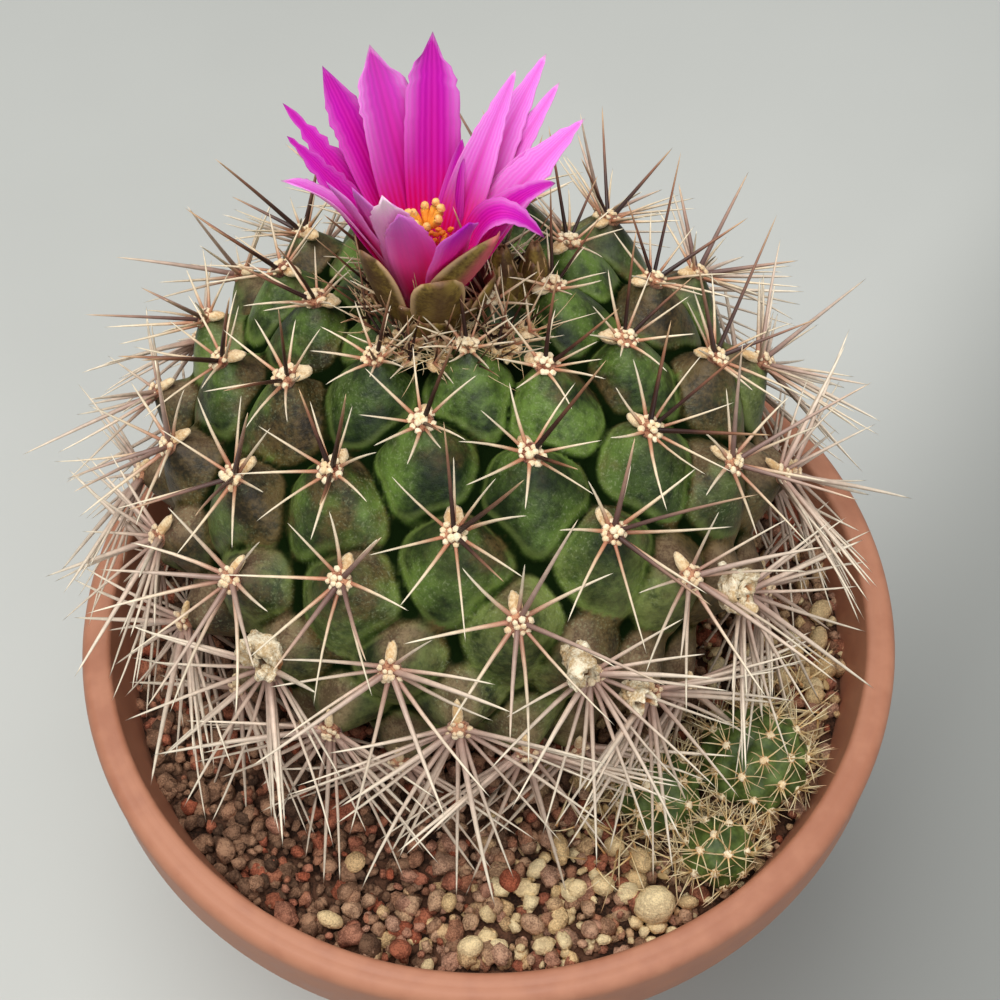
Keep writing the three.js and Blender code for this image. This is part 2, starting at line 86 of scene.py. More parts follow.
def put(name, data):
    """A new object of the scene."""
    thing = bpy.data.objects.new(name, data)
    bpy.context.scene.collection.objects.link(thing)
    return thing


def stand(thing, across, upward, back, place):
    """Stands a thing at place in mm, with its three axes along across, upward and back."""
    matrix = np.eye(4)
    matrix[:3] = np.stack([across, upward, back, np.asarray(place) * MM], -1)
    thing.matrix_world = matrix.T.tolist()


back = np.array([0, -math.cos(CAMERA_ELEVATION), math.sin(CAMERA_ELEVATION)])
level = np.array([1.0, 0, 0])
right = math.cos(CAMERA_ROLL) * level + math.sin(CAMERA_ROLL) * np.cross(back, level)
camera_place = CAMERA_AIM + CAMERA_DISTANCE * back
camera = put("camera", bpy.data.cameras.new("camera"))
stand(camera, right, np.cross(back, right), back, camera_place)
camera.data.lens = CAMERA_LENS
camera.data.clip_start = CAMERA_NEAR
bpy.context.scene.camera = camera
bpy.context.scene.view_settings.view_transform = "Standard"
print("camera at", camera_place.round(1), "mm")

# %% [markdown]
# Soft daylight comes from a wide window to the left and above. One large area lamp stands for the window,
# a weaker one opens the shadows from the right, and a pale sky fills the rest. Large lamps give the soft
# shadows that keep a thousand thin spines readable.

# %% Lamps and sky
SKY_COLOR = (0.86, 0.88, 0.88, 1)
SKY_STRENGTH = 0.36


def unit(vectors):
    """Vectors made one long."""
    return vectors / np.linalg.norm(vectors, axis=-1, keepdims=True)


def area_lamp(name, place, size, power, color):
    """A square lamp at place in mm that shines at the plant."""
    lamp = put(name, bpy.data.lights.new(name, "AREA"))
    lamp.data.size = size
    lamp.data.energy = power
    lamp.data.color = color
    facing = unit(np.array(place) - CAMERA_AIM)
    across = unit(np.cross([0, 0, 1], facing))
    stand(lamp, across, np.cross(facing, across), facing, place)
    print("lamp:", name, power, "W")


area_lamp("window", (-150, -60, 980), size=0.7, power=7.6, color=(1.0, 0.985, 0.96))
area_lamp("fill", (420, -620, 720), size=1.0, power=3.6, color=(0.96, 0.98, 1.0))
world = bpy.data.worlds.new("sky")
world.use_nodes = True
sky = world.node_tree.nodes["Background"].inputs
sky["Color"].default_value = SKY_COLOR
sky["Strength"].default_value = SKY_STRENGTH
bpy.context.scene.world = world

# %% [markdown]
# ## A few small helpers
#
# Every new piece is a list of points and faces. `lattice` gives the quads of a grid, `skins` closes many
# alike tubes or shells at both ends, and `together` joins parts to one. `make_piece` turns the arrays into
# an object that rides on the plant's one body, and `worked_out` gives its mesh after its modifiers.


# %% Mesh helpers
def lattice(rows, columns):
    """Quads between the neighbouring points of a grid whose last column meets the first again."""
    i, j = np.meshgrid(np.arange(rows - 1), np.arange(columns), indexing="ij")
    k = (j + 1) % columns
    low, high = i * columns, (i + 1) * columns
    return np.stack([low + j, low + k, high + k, high + j], -1).reshape(-1, 4)


def skins(rings, foot, tip):
    """Closed skins over rings (count, levels, sides, 3), with a pole at foot and one at tip (count, 3)."""
    count, levels, sides = rings.shape[:3]
    per = levels * sides + 2
    points = np.concatenate([rings.reshape(count, -1, 3), foot[:, None], tip[:, None]], 1).reshape(-1, 3)
    j = np.arange(sides)
    k = (j + 1) % sides
    last = (levels - 1) * sides
    fans = np.concatenate([
        np.stack([np.full(sides, per - 2), k, j], -1),
        np.stack([np.full(sides, per - 1), last + j, last + k], -1),
    ])
    shift = (np.arange(count) * per)[:, None, None]
    return points, [(lattice(levels, sides) + shift).reshape(-1, 4), (fans + shift).reshape(-1, 3)]


def together(*parts):
    """Joins parts, each of points and blocks of faces, to one."""
    shifts = np.cumsum([0] + [len(points) for points, _ in parts])
    faces = [block + shift for (_, blocks), shift in zip(parts, shifts) for block in blocks]
    return np.concatenate([points for points, _ in parts]), faces


def make_mesh(name, points, faces):
    """A mesh of points in mm and blocks of faces, each block an array of point numbers."""
    mesh = bpy.data.meshes.new(name)
    mesh.vertices.add(len(points))
    mesh.vertices.foreach_set("co", (np.asarray(points) * MM).astype(np.float32).ravel())
    corners = np.concatenate([block.ravel() for block in faces])
    sizes = np.concatenate([np.full(len(block), block.shape[1]) for block in faces])
    mesh.loops.add(len(corners))
    mesh.loops.foreach_set("vertex_index", corners.astype(np.int32))
    mesh.polygons.add(len(sizes))
    mesh.polygons.foreach_set("loop_start", np.concatenate([[0], np.cumsum(sizes)[:-1]]).astype(np.int32))
    mesh.update(calc_edges=True)
    mesh.validate()
    return mesh


def add_values(mesh, **values):
    """Writes a number for every point of a mesh."""
    for key, value in values.items():
        attribute = mesh.attributes.new(key, "FLOAT", "POINT")
        attribute.data.foreach_set("value", np.asarray(value, np.float32).ravel())


def dress(name, mesh, material, replaces=()):
    """The object of a mesh, with its material, smooth shading, body and the nodes it replaces."""
    mesh.polygons.foreach_set("use_smooth", np.full(len(mesh.polygons), True))
    mesh.materials.append(material)
    piece = put(name, mesh)
    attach(piece, "root")
    if replaces:
        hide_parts(*replaces)
    triangles = sum(len(face.vertices) - 2 for face in mesh.polygons)
    print(f"{name}: {triangles} triangles")
    return piece


def make_piece(name, points, faces, material, slot=None, replaces=(), **values):
    """A finished piece that rides on the plant's body. Each of values is a number for every point."""
    mesh = make_mesh(name, points, faces)
    add_values(mesh, **values)
    return dress(name, mesh, material, replaces)


def worked_out(piece):
    """The mesh of a piece once its modifiers have done their work."""
    bpy.context.view_layer.update()
    return bpy.data.meshes.new_from_object(piece.evaluated_get(bpy.context.evaluated_depsgraph_get()))


# %% Shares and directions
def mix(low, high, share):
    """A value on the way from low to high."""
    return low + (high - low) * share


def smoothstep(low, high, value):
    """0 below low, 1 above high, and an even S between them."""
    share = np.clip((value - low) / (high - low), 0, 1)
    return share * share * (3 - 2 * share)


def per_point(points, values):
    """One value of each of many alike shapes, given to all of its points."""
    return np.repeat(values, len(points) // len(values))


def even_turns(count):
    """Angles that part a circle into count equal steps."""
    return np.arange(count) * TAU / count


def circling(turn):
    """Level ways round the upright axis: cos, sin and 0."""
    return np.stack([np.cos(turn), np.sin(turn), 0 * turn], -1)


def sphere(polar, turn):
    """Ways on a ball: sin polar cos turn, sin polar sin turn and cos polar."""
    return np.sin(polar)[..., None] * circling(turn) + np.cos(polar)[..., None] * [0, 0, 1]


def between(first, second, angle):
    """Ways turned from the first towards the second: first cos angle + second sin angle."""
    return first * np.cos(angle)[..., None] + second * np.sin(angle)[..., None]


# %% [markdown]
# ## Helpers for materials
#
# All colours are procedural. `Shader` adds nodes to one tree and links them as they are made, so that a
# material reads like a short recipe. Colours are given as on a colour chart, in sRGB from 0 to 255, and
# turned into linear light.


# %% Node helpers
def chart(red, green, blue):
    """A linear colour from sRGB values between 0 and 255."""
    srgb = np.array([red, green, blue]) / 255
    linear = np.where(srgb <= 0.04045, srgb / 12.92, ((srgb + 0.055) / 1.055) ** 2.4)
    return (*linear.tolist(), 1.0)


class Shader:
    """Adds nodes to a node tree. An input value that is a socket is linked, and any other value is set."""

    def __init__(self, tree):
        self.tree = tree

    def add(self, kind, inputs=None, **settings):
        """A new node with its settings and its inputs."""
        node = self.tree.nodes.new(kind)
        for key, value in settings.items():
            setattr(node, key, value)
        for key, value in (inputs or {}).items():
            if isinstance(value, bpy.types.NodeSocket):
                self.tree.links.new(value, node.inputs[key])
            else:
                node.inputs[key].default_value = value
        return node

    def here(self):
        """Object coordinates, in metres."""
        return self.add("ShaderNodeTexCoord").outputs["Object"]

    def value(self, name):
        """A number that the mesh carries at each point."""
        return self.add("ShaderNodeAttribute", attribute_name=name).outputs["Fac"]

    def noise(self, scale, detail=3.0, roughness=0.55):
        """Cloudy noise between 0 and 1; scale is in cells a metre."""
        inputs = {"Vector": self.here(), "Scale": scale, "Detail": detail, "Roughness": roughness}
        return self.add("ShaderNodeTexNoise", inputs).outputs["Fac"]

    def math(self, operation, first, second=0.0):
        """One sum of two numbers."""
        return self.add("ShaderNodeMath", {0: first, 1: second}, operation=operation).outputs[0]

    def times(self, first, second):
        """The product of two numbers."""
        return self.math("MULTIPLY", first, second)

    def plus(self, first, second):
        """The sum of two numbers."""
        return self.math("ADD", first, second)

    def remap(self, value, low, high, to_low=0.0, to_high=1.0):
        """An even S from to_low at low to to_high at high."""
        inputs = {"Value": value, "From Min": low, "From Max": high, "To Min": to_low, "To Max": to_high}
        return self.add("ShaderNodeMapRange", inputs, interpolation_type="SMOOTHSTEP").outputs["Result"]

    def blend(self, share, first, second, kind="MIX"):
        """first where share is 0 and second where it is 1."""
        node = self.add("ShaderNodeMix", {0: share, 6: first, 7: second}, data_type="RGBA", blend_type=kind)
        return node.outputs[2]

    def bump(self, height, strength, distance):
        """The normal of a surface that a height pushes out; distance is in metres."""
        node = self.add("ShaderNodeBump", {"Height": height, "Strength": strength, "Distance": distance})
        return node.outputs["Normal"]

    def ramp(self, value, *stops):
        """A colour for each value, from stops of a place, red, green and blue."""
        node = self.add("ShaderNodeValToRGB", {"Fac": value})
        elements = node.color_ramp.elements
        while len(elements) < len(stops):
            elements.new(0.5)
        for element, (place, *color) in zip(elements, stops):
            element.position = place
            element.color = chart(*color)
        return node.outputs["Color"]

    def use(self, tree, **inputs):
        """Places a node group and gives its outputs."""
        named = {key.replace("_", " "): value for key, value in inputs.items()}
        return self.add("ShaderNodeGroup", named, node_tree=tree).outputs


def make_group(name, inputs, outputs):
    """An empty node group with named sockets; inputs are (name, kind, value), outputs (name, kind)."""
    tree = bpy.data.node_groups.new(name, "ShaderNodeTree")
    for label, kind, value in inputs:
        socket = tree.interface.new_socket(label, in_out="INPUT", socket_type="NodeSocket" + kind)
        socket.default_value = value
    for label, kind in outputs:
        tree.interface.new_socket(label, in_out="OUTPUT", socket_type="NodeSocket" + kind)
    shader = Shader(tree)
    return shader, shader.add("NodeGroupInput").outputs, shader.add("NodeGroupOutput").inputs


def make_material(name, **settings):
    """A material with a Principled BSDF whose uniform values are set on its own sockets."""
    material = bpy.data.materials.new(name)
    material.use_nodes = True
    surface = material.node_tree.nodes["Principled BSDF"]
    for key, value in settings.items():
        surface.inputs[key.replace("_", " ")].default_value = value
    return material, Shader(material.node_tree), surface


def feed(shader, surface, **sockets):
    """Links sockets to the Principled BSDF's inputs."""
    for key, socket in sockets.items():
        shader.tree.links.new(socket, surface.inputs[key.replace("_", " ")])


# %% [markdown]
# Two effects come back on many surfaces, so each is a node group. *Mottle* mixes a dark and a light tone in
# clouds of two sizes, as skin, soil and clay do. *Relief* is fine bump for felt, pores and grit.

# %% Shared node groups
nodes, given, result = make_group(
    "mottle",
    [("Dark", "Color", (0.1, 0.1, 0.1, 1)), ("Light", "Color", (0.5, 0.5, 0.5, 1)), ("Scale", "Float", 60.0),
     ("Fine", "Float", 0.4)],
    [("Color", "Color"), ("Value", "Float")],
)
broad = nodes.noise(given["Scale"], detail=3)
fine = nodes.noise(nodes.times(given["Scale"], 7.3), detail=2)
both = nodes.plus(broad, nodes.times(given["Fine"], nodes.math("SUBTRACT", fine, 0.5)))
share = nodes.remap(both, 0.3, 0.7)
nodes.tree.links.new(nodes.blend(share, given["Dark"], given["Light"]), result["Color"])
nodes.tree.links.new(share, result["Value"])
mottle = nodes.tree

nodes, given, result = make_group(
    "relief",
    [("Scale", "Float", 900.0), ("Strength", "Float", 0.3), ("Depth", "Float", 0.0005)],
    [("Normal", "Vector")],
)
height = nodes.noise(given["Scale"], detail=4, roughness=0.6)
nodes.tree.links.new(nodes.bump(height, given["Strength"], given["Depth"]), result["Normal"])
relief = nodes.tree


def tones(nodes, dark, light, scale, fine):
    """Two chart colours mixed by the mottle group."""
    return nodes.use(mottle, Dark=chart(*dark), Light=chart(*light), Scale=scale, Fine=fine)["Color"]


def pores(nodes, scale, strength, depth):
    """The relief group's normal."""
    return nodes.use(relief, Scale=scale, Strength=strength, Depth=depth)["Normal"]


print("node groups:", [tree.name for tree in bpy.data.node_groups])

# %% [markdown]
# ## The floor
#
# A plain pale grey floor, graded a little darker to the right, away from the window. It is stage, and no
# part of the plant.

# %% Floor
FLOOR_REACH = 3000
FLOOR_DROP = 0.2
material, nodes, surface = make_material("floor_paint", Roughness=0.85)
paint = tones(nodes, (199, 201, 197), (206, 208, 204), 3.0, 0.1)
place = nodes.add("ShaderNodeSeparateXYZ", {0: nodes.here()}).outputs
near_right = nodes.math("SUBTRACT", place["X"], nodes.times(place["Y"], 0.7))
shaded = nodes.remap(near_right, -0.01, 0.11)
feed(nodes, surface, Base_Color=nodes.blend(shaded, paint, chart(152, 154, 151)))
corners = FLOOR_REACH * np.array([[-1, -1, 0], [1, -1, 0], [1, 1, 0], [-1, 1, 0]]) - [0, 0, FLOOR_DROP]
floor = put("floor", make_mesh("floor", corners, [np.array([[0, 1, 2, 3]])]))
floor.data.materials.append(material)

# %% [markdown]
# ## The pot
#
# A plain nursery pot of pink-brown plastic: a tapered wall with a rim band that hangs over it like a
# skirt. It is round about its axis, so it could be spun from a curve with a modifier. Here the profile is
# a list of points with arcs at the edges, turned about the axis as one array, which keeps every radius a
# named size. The six drain holes are cut with a Boolean, because they are the only thing on the pot that
# isn't round about the axis.

# %% Pot profile
POT_HEIGHT = 125
RIM_RADIUS = 85
RIM_INNER_RADIUS = 78.8
RIM_DEPTH = 15
RIM_ROUNDING = 2.6
BEAD_HEIGHT = 0.18
SKIRT_THICKNESS = 2.4
BASE_RADIUS = 57.5
POT_WALL = 3
POT_FLOOR = 4
DRAIN_HOLES = 6
DRAIN_RADIUS = 5
DRAIN_CIRCLE = 38


def inner_radius_at(z):
    """The inside of the tapered wall: a straight line from the floor to the inner edge of the rim."""
    return mix(BASE_RADIUS - POT_WALL, RIM_INNER_RADIUS, (z - POT_FLOOR) / (POT_HEIGHT - POT_FLOOR))


def arc(radius, height, rounding, start, end, steps=5):
    """Points of an arc about (radius, height), between two angles in degrees."""
    angle = np.radians(np.linspace(start, end, steps))
    return np.stack([radius + rounding * np.cos(angle), height + rounding * np.sin(angle)], -1)


def turned(profile, columns):
    """Turns (radius, height) points about the z axis: x = radius cos, y = radius sin. Both ends lie on it."""
    radius, height = profile[1:-1].T
    rings = radius[:, None, None] * circling(even_turns(columns)) + height[:, None, None] * [0, 0, 1]
    ends = np.array([[0, 0, profile[0, 1]], [0, 0, profile[-1, 1]]])
    return skins(rings[None], ends[:1], ends[1:])


band_foot = POT_HEIGHT - RIM_DEPTH
skirt_inside = RIM_RADIUS - SKIRT_THICKNESS
profile = np.concatenate([
    [[0, 0.6], [BASE_RADIUS - 7, 0.6], [BASE_RADIUS - 6, 0]],
    arc(BASE_RADIUS - 1.5, 1.5, 1.5, -90, 0),
    [[inner_radius_at(band_foot) + POT_WALL, band_foot], [inner_radius_at(120) + POT_WALL, 119.4]],
    [[skirt_inside - 0.4, 120], [skirt_inside, 119.6], [skirt_inside, band_foot + 0.3]],
    arc(RIM_RADIUS - 0.8, band_foot + 0.8, 0.8, -90, 0),
    [[RIM_RADIUS - 0.15, POT_HEIGHT - 8], [RIM_RADIUS, POT_HEIGHT - RIM_ROUNDING - 1]],
    arc(RIM_RADIUS - RIM_ROUNDING, POT_HEIGHT - RIM_ROUNDING, RIM_ROUNDING, 0, 82, 8),
    [[RIM_RADIUS - 3.1, POT_HEIGHT - BEAD_HEIGHT], [RIM_RADIUS - 3.6, POT_HEIGHT - BEAD_HEIGHT]],
    [[RIM_RADIUS - 4.1, POT_HEIGHT - 0.05], [RIM_INNER_RADIUS + 1.6, POT_HEIGHT - 0.1]],
    arc(RIM_INNER_RADIUS + 1.2, POT_HEIGHT - 1.3, 1.2, 80, 180),
    [[inner_radius_at(POT_FLOOR + 2), POT_FLOOR + 2], [inner_radius_at(POT_FLOOR) - 2, POT_FLOOR]],
    [[0, POT_FLOOR]],
])

# %% Pot plastic
pot_plastic, nodes, surface = make_material("pot_plastic", Specular_IOR_Level=0.34)
clay = nodes.use(mottle, Dark=chart(168, 111, 86), Light=chart(183, 126, 99), Scale=30.0, Fine=0.6)
feed(nodes, surface, Base_Color=clay["Color"], Roughness=nodes.remap(clay["Value"], 0, 1, 0.42, 0.55),
     Normal=pores(nodes, 2600.0, 0.12, 0.0002))

# %% Make the pot
POT_COLUMNS = 192
DRILL_COLUMNS = 24
DRILL_ENDS = np.array([[0, 0, -4], [0, 0, 12]])
SHARP_ANGLE = math.radians(40)
pot = make_piece("pot_shell", *turned(profile, POT_COLUMNS), pot_plastic, "pot_plastic", ["pot"])
centres = DRAIN_CIRCLE * circling(even_turns(DRAIN_HOLES))
rings = centres[:, None, None] + DRAIN_RADIUS * circling(even_turns(DRILL_COLUMNS)) + DRILL_ENDS[:, None]
drill = put("drill", make_mesh("drill", *skins(rings, centres + DRILL_ENDS[0], centres + DRILL_ENDS[1])))
cut = pot.modifiers.new("drain_holes", "BOOLEAN")
cut.object = drill
cut.operation = "DIFFERENCE"
cut.solver = "EXACT"
holed = worked_out(pot)
pot.modifiers.clear()
pot.data = holed
bpy.data.objects.remove(drill)
pot.data.set_sharp_from_angle(angle=SHARP_ANGLE)
print("pot:", len(pot.data.polygons), "faces with", DRAIN_HOLES, "drain holes")

# %% [markdown]
# ## The soil
#
# The plant stands in coarse, dry grit: broken red and brown lava with tan pumice, two to six millimetres
# across. A bump map on a flat disc would look painted from above, so the bed is only the dark ground
# between the stones, and the stones are thousands of small solids. Each has a few dozen faces, because
# they are many and small.

# %% Soil bed
SOIL_TOP = 112.2
BED_TOP = 110.6
BED_FOOT = POT_FLOOR + 0.3
BED_GAP = 0.3
BED_RELIEF = 0.6
BED_RINGS = 40
BED_COLUMNS = 150
random = np.random.default_rng(12)
edge_radius = inner_radius_at(SOIL_TOP) - BED_GAP
around = circling(even_turns(BED_COLUMNS))
shares = np.linspace(1, 0.02, BED_RINGS)
heights = BED_TOP + BED_RELIEF * (random.random((BED_RINGS, BED_COLUMNS)) * 2 - 1)
top = edge_radius * shares[:, None, None] * around + heights[..., None] * [0, 0, 1]
low = (inner_radius_at(BED_FOOT) - BED_GAP) * around + [0, 0, BED_FOOT]
rings = np.concatenate([low[None], top])[None]
points, faces = skins(rings, np.array([[0, 0, BED_FOOT]]), np.array([[0, 0, BED_TOP]]))
material, nodes, surface = make_material("soil_dust", Roughness=0.95, Specular_IOR_Level=0.2)
feed(nodes, surface, Base_Color=tones(nodes, (38, 25, 18), (96, 66, 50), 260.0, 0.6),
     Normal=pores(nodes, 1500.0, 0.6, 0.0006))
make_piece("soil_bed", points, faces, material, "grit", ["soil"])


# %% Stones
def random_turns(random, count):
    """Rotation matrices from random unit quaternions."""
    w, x, y, z = unit(random.normal(size=(count, 4))).T
    return np.stack([
        1 - 2 * (y * y + z * z), 2 * (x * y - w * z), 2 * (x * z + w * y),
        2 * (x * y + w * z), 1 - 2 * (x * x + z * z), 2 * (y * z - w * x),
        2 * (x * z - w * y), 2 * (y * z + w * x), 1 - 2 * (x * x + y * y),
    ], -1).reshape(-1, 3, 3)


def lumps(random, centres, radii, axes, sides=6, levels=3, rough=0.2):
    """Uneven balls: a few points, each pushed in or out, stretched by three radii along three axes."""
    count = len(centres)
    polar = np.linspace(math.pi, 0, levels + 2)[1:-1, None]
    turn = (np.arange(sides) + 0.5 * (np.arange(levels) % 2)[:, None]) * TAU / sides
    ball = np.concatenate([sphere(polar, turn).reshape(-1, 3), [[0, 0, -1], [0, 0, 1]]])
    push = 1 + rough * (2 * random.random((count, len(ball), 1)) - 1)
    placed = np.einsum("cpi,cij->cpj", ball * push * radii[:, None], axes) + centres[:, None]
    return skins(placed[:, :-2].reshape(count, levels, sides, 3), placed[:, -2], placed[:, -1])


def stones(random, centres, sizes, **shape):
    """Broken stones: lumps that are flatter one way, turned at random."""
    count = len(centres)
    flat = [np.ones(count), mix(0.7, 1, random.random(count)), mix(0.55, 0.85, random.random(count))]
    radii = np.stack(flat, -1) * sizes[:, None]
    return lumps(random, centres, radii, random_turns(random, count), **shape)


# %% Bed of grit
STONE_SPACING = 2.75
STONE_SMALL = 0.8
STONE_LARGE = 2.9
FOOT_RADIUS = 38
BODY_CENTRE = np.array([-4, 18, 148.7])


def hex_places(reach, spacing, random, jitter=0.45):
    """Jittered places of a hexagonal grid within reach of the pot's axis."""
    steps = int(reach / spacing / math.sqrt(0.75)) + 2
    i, j = np.meshgrid(np.arange(-steps, steps + 1), np.arange(-steps, steps + 1))
    places = np.stack([i + 0.5 * (j % 2), j * math.sqrt(0.75)], -1).reshape(-1, 2) * spacing
    places += (random.random(places.shape) * 2 - 1) * jitter * spacing
    return places[np.hypot(*places.T) < reach]


random = np.random.default_rng(31)
ground = hex_places(edge_radius + 0.3, STONE_SPACING, random)
upper = hex_places(edge_radius - 0.6, STONE_SPACING * 1.15, random, 0.7)
places = np.concatenate([ground, upper])
layer = np.repeat([0.0, 1.0], [len(ground), len(upper)])
shown = np.hypot(*(places - BODY_CENTRE[:2]).T) > FOOT_RADIUS
places, layer = places[shown], layer[shown]
sizes = np.clip(np.exp(random.normal(0.36, 0.4, len(places))), STONE_SMALL, STONE_LARGE)
sizes = np.minimum(sizes, edge_radius + 1.9 - np.hypot(*places.T))
heights = SOIL_TOP - 1.2 + layer * 1.7 + 0.5 * (random.random(len(places)) * 2 - 1) - 0.3 * (sizes - 1.6)
centres = np.column_stack([places, heights])
# Partly the grit's own mix, partly painted light and shade: stones are paler towards the front right and
# darker towards the back left, under the rim.
toward_front_right = smoothstep(2, 57, places @ unit(np.array([0.75, -0.66])))
tone = random.random(len(places)) * mix(0.46, 0.92, toward_front_right)
tone = np.clip(tone + 0.4 * toward_front_right * random.random(len(places)), 0, 1)
points, faces = stones(random, centres, sizes, sides=7, levels=3, rough=0.24)
print("grit:", len(centres), "stones")

# %% Lava and pumice
lava_grit, nodes, surface = make_material("lava_grit", Specular_IOR_Level=0.25)
rock = nodes.ramp(
    nodes.value("tone"),
    (0.0, 92, 70, 56), (0.15, 156, 120, 96), (0.3, 186, 146, 118), (0.42, 178, 98, 72),
    (0.56, 206, 164, 140), (0.7, 204, 168, 136), (0.84, 238, 205, 152), (1.0, 255, 234, 186),
)
dusty = tones(nodes, (150, 138, 130), (255, 252, 246), 420.0, 0.9)
speckled = nodes.remap(nodes.value("tone"), 0.75, 0.95, 0.85, 0.5)
feed(nodes, surface, Base_Color=nodes.blend(speckled, rock, dusty, "MULTIPLY"),
     Roughness=nodes.remap(nodes.value("tone"), 0.5, 1, 0.95, 0.75),
     Normal=pores(nodes, 1300.0, 0.7, 0.0009))
make_piece("grit", points, faces, lava_grit, "grit", tone=per_point(points, tone))

# %% [markdown]
# A few smooth pebbles of tan and white pumice lie on top, most of them at the front right, where the eye
# finds them. They are listed one by one: across, along, radius and tone.

# %% Pebbles
# Each row: x, y, radius, tone.
PEBBLES = [
    [31.6, -63.2, 4.4, 0.98], [26.6, -60.6, 2.3, 1.0], [21.8, -58.9, 2.5, 0.93], [16.7, -59.6, 2.2, 0.95],
    [-30.7, -65.2, 2.8, 0.92], [-3.9, -70.9, 2.7, 0.96], [13.7, -51.7, 3.2, 0.84], [29.3, -53.9, 3.1, 0.87],
    [18.9, -67.7, 2.4, 0.6], [-17.1, -71.0, 2.2, 0.4], [70.6, -5.1, 3.0, 0.9], [70.5, -12.4, 3.2, 0.84],
    [12.4, -62.7, 2.0, 0.75], [-26.5, -53.7, 2.2, 0.8], [3.8, -57.7, 2.3, 0.42], [-42.7, -45.9, 2.1, 0.5],
    [24.5, -51.0, 2.6, 0.9], [38.0, -62.5, 2.1, 0.88], [8.0, -66.5, 2.6, 0.66], [-8.0, -62.0, 2.0, 0.86],
    [68.0, -18.5, 2.6, 0.88], [72.0, 2.0, 2.8, 0.9], [65.0, -8.0, 2.4, 0.85], [69.0, 9.0, 2.4, 0.86],
    [62.0, -14.0, 2.3, 0.9],
]
pebble = np.array(PEBBLES)
random = np.random.default_rng(5)
centres = np.column_stack([pebble[:, :2], SOIL_TOP + 1.3 + 0.25 * pebble[:, 2]])
points, faces = stones(random, centres, pebble[:, 2], sides=14, levels=9, rough=0.055)
make_piece("pebbles", points, faces, lava_grit, "grit", tone=per_point(points, pebble[:, 3]))

# %% [markdown]
# ## Where the areoles stand
#
# A cactus grows from its tip, and each new tubercle appears about 137.7 degrees round from the last one.
# The same spiral places everything on this plant. Areole number n lies on a leaning ellipsoid, at a polar
# angle that grows as a power of n. The pot holds the lowest ones in, so their reach is limited softly.

# %% Spiral of areoles
BODY_RADIUS = 66.5
BODY_RISE = 48
BODY_LEAN_X = -0.094
BODY_LEAN_Y = -0.032
SPIRAL_TURN = -2.4028
SPIRAL_START = 4.3564
SPIRAL_SPREAD = 0.0582
SPIRAL_POWER = 0.7933
SPIRAL_OFFSET = 0.37
FIRST_TUBERCLE = 2
LAST_TUBERCLE = 89
HELD_REACH = 71
HELD_FROM = 133
HELD_SLOPE = 0.5
HELD_SOFTNESS = 2.5
TUBERCLE_HEIGHT = 15.5
TUBERCLE_CHIN = 5.2


def draw(n, k):
    """A fixed random number from 0 to 1 for areole n and question k: the fraction of a large sine."""
    wave = np.sin(np.asarray(n) * 12.9898 + np.asarray(k) * 78.233) * 43758.5453
    return wave - np.floor(wave)


def body_turn():
    """The plant's lean: a turn about x and then about y."""
    cx, sx, cy, sy = (f(a) for a in (BODY_LEAN_X, BODY_LEAN_Y) for f in (math.cos, math.sin))
    return np.array([[cy, 0, sy], [0, 1, 0], [-sy, 0, cy]]) @ np.array([[1, 0, 0], [0, cx, -sx], [0, sx, cx]])


def on_body(polar, turn):
    """Places on the leaning ellipsoid and outward ways there, from polar angles and turns round its tip."""
    ball = sphere(polar, turn)
    size = np.array([BODY_RADIUS, BODY_RADIUS, BODY_RISE])
    return (ball * size) @ body_turn().T + BODY_CENTRE, unit((ball / size) @ body_turn().T)


def held_in(points):
    """Points pulled in to a reach that the pot allows: limit - soft log(1 + exp((limit - reach) / soft))."""
    reach = np.hypot(points[:, 0], points[:, 1])
    limit = HELD_REACH + HELD_SLOPE * np.maximum(0, points[:, 2] - HELD_FROM)
    held = limit - HELD_SOFTNESS * np.log1p(np.exp((limit - reach) / HELD_SOFTNESS))
    return points * np.stack([held / reach, held / reach, np.ones(len(points))], -1)


class Areoles:
    """Arrays for areoles n: place, out (away from the flesh), side (along the belt) and up (to the apex)."""

    def __init__(self, n):
        self.n = np.asarray(n, float)
        polar = SPIRAL_SPREAD * (self.n + SPIRAL_OFFSET) ** SPIRAL_POWER
        place, self.out = on_body(polar, SPIRAL_START + self.n * SPIRAL_TURN)
        self.place = held_in(place)
        self.side = unit(np.cross(body_turn()[:, 2], self.out))
        self.up = np.cross(self.out, self.side)
        self.spacing = mix(13, 22, np.clip(self.n / 16, 0, 1)) - 2 * np.clip((self.n - 70) / 22, 0, 1)
        self.height = TUBERCLE_HEIGHT * mix(0.55, 1, np.clip(self.n / 14, 0, 1))
        self.age = np.clip((self.n - 6) / 55, 0, 1)
        self.pointed = smoothstep(28, 62, self.n)
        self.chin = TUBERCLE_CHIN * self.spacing / 22 * (1 - 0.9 * self.pointed)

    def local(self, *distances):
        """Points at distances along side, up and out; the first axis of each array is the areoles'."""
        shape = (len(self.n), *[1] * (np.ndim(distances[0]) - 1), 3)
        axes = (self.side, self.up, self.out)
        steps = (np.asarray(far)[..., None] * axis.reshape(shape) for far, axis in zip(distances, axes))
        return sum(steps, self.place.reshape(shape))


areoles = Areoles(np.arange(FIRST_TUBERCLE, LAST_TUBERCLE + 1))
heights = areoles.place[:, 2]
print("areoles:", len(heights), "from height", heights.min().round(), "to", heights.max().round())

# %% [markdown]
# ## The fleshy body
#
# On the real plant the tubercles are plump cones that press against each other, so that sharp dark
# creases part them. They could be sculpted, or stand in a displacement map, which can't overhang. Here
# each one is a surface of two parameters, its level from foot to tip and the angle round it, on a plain
# core. Its foot fills the areole's cell, the ground that lies nearer to it than to any other areole, so
# that no gap is left where three tubercles meet. A voxel remesh then joins all of them to one skin, and a
# little smoothing rounds the creases as flesh does.

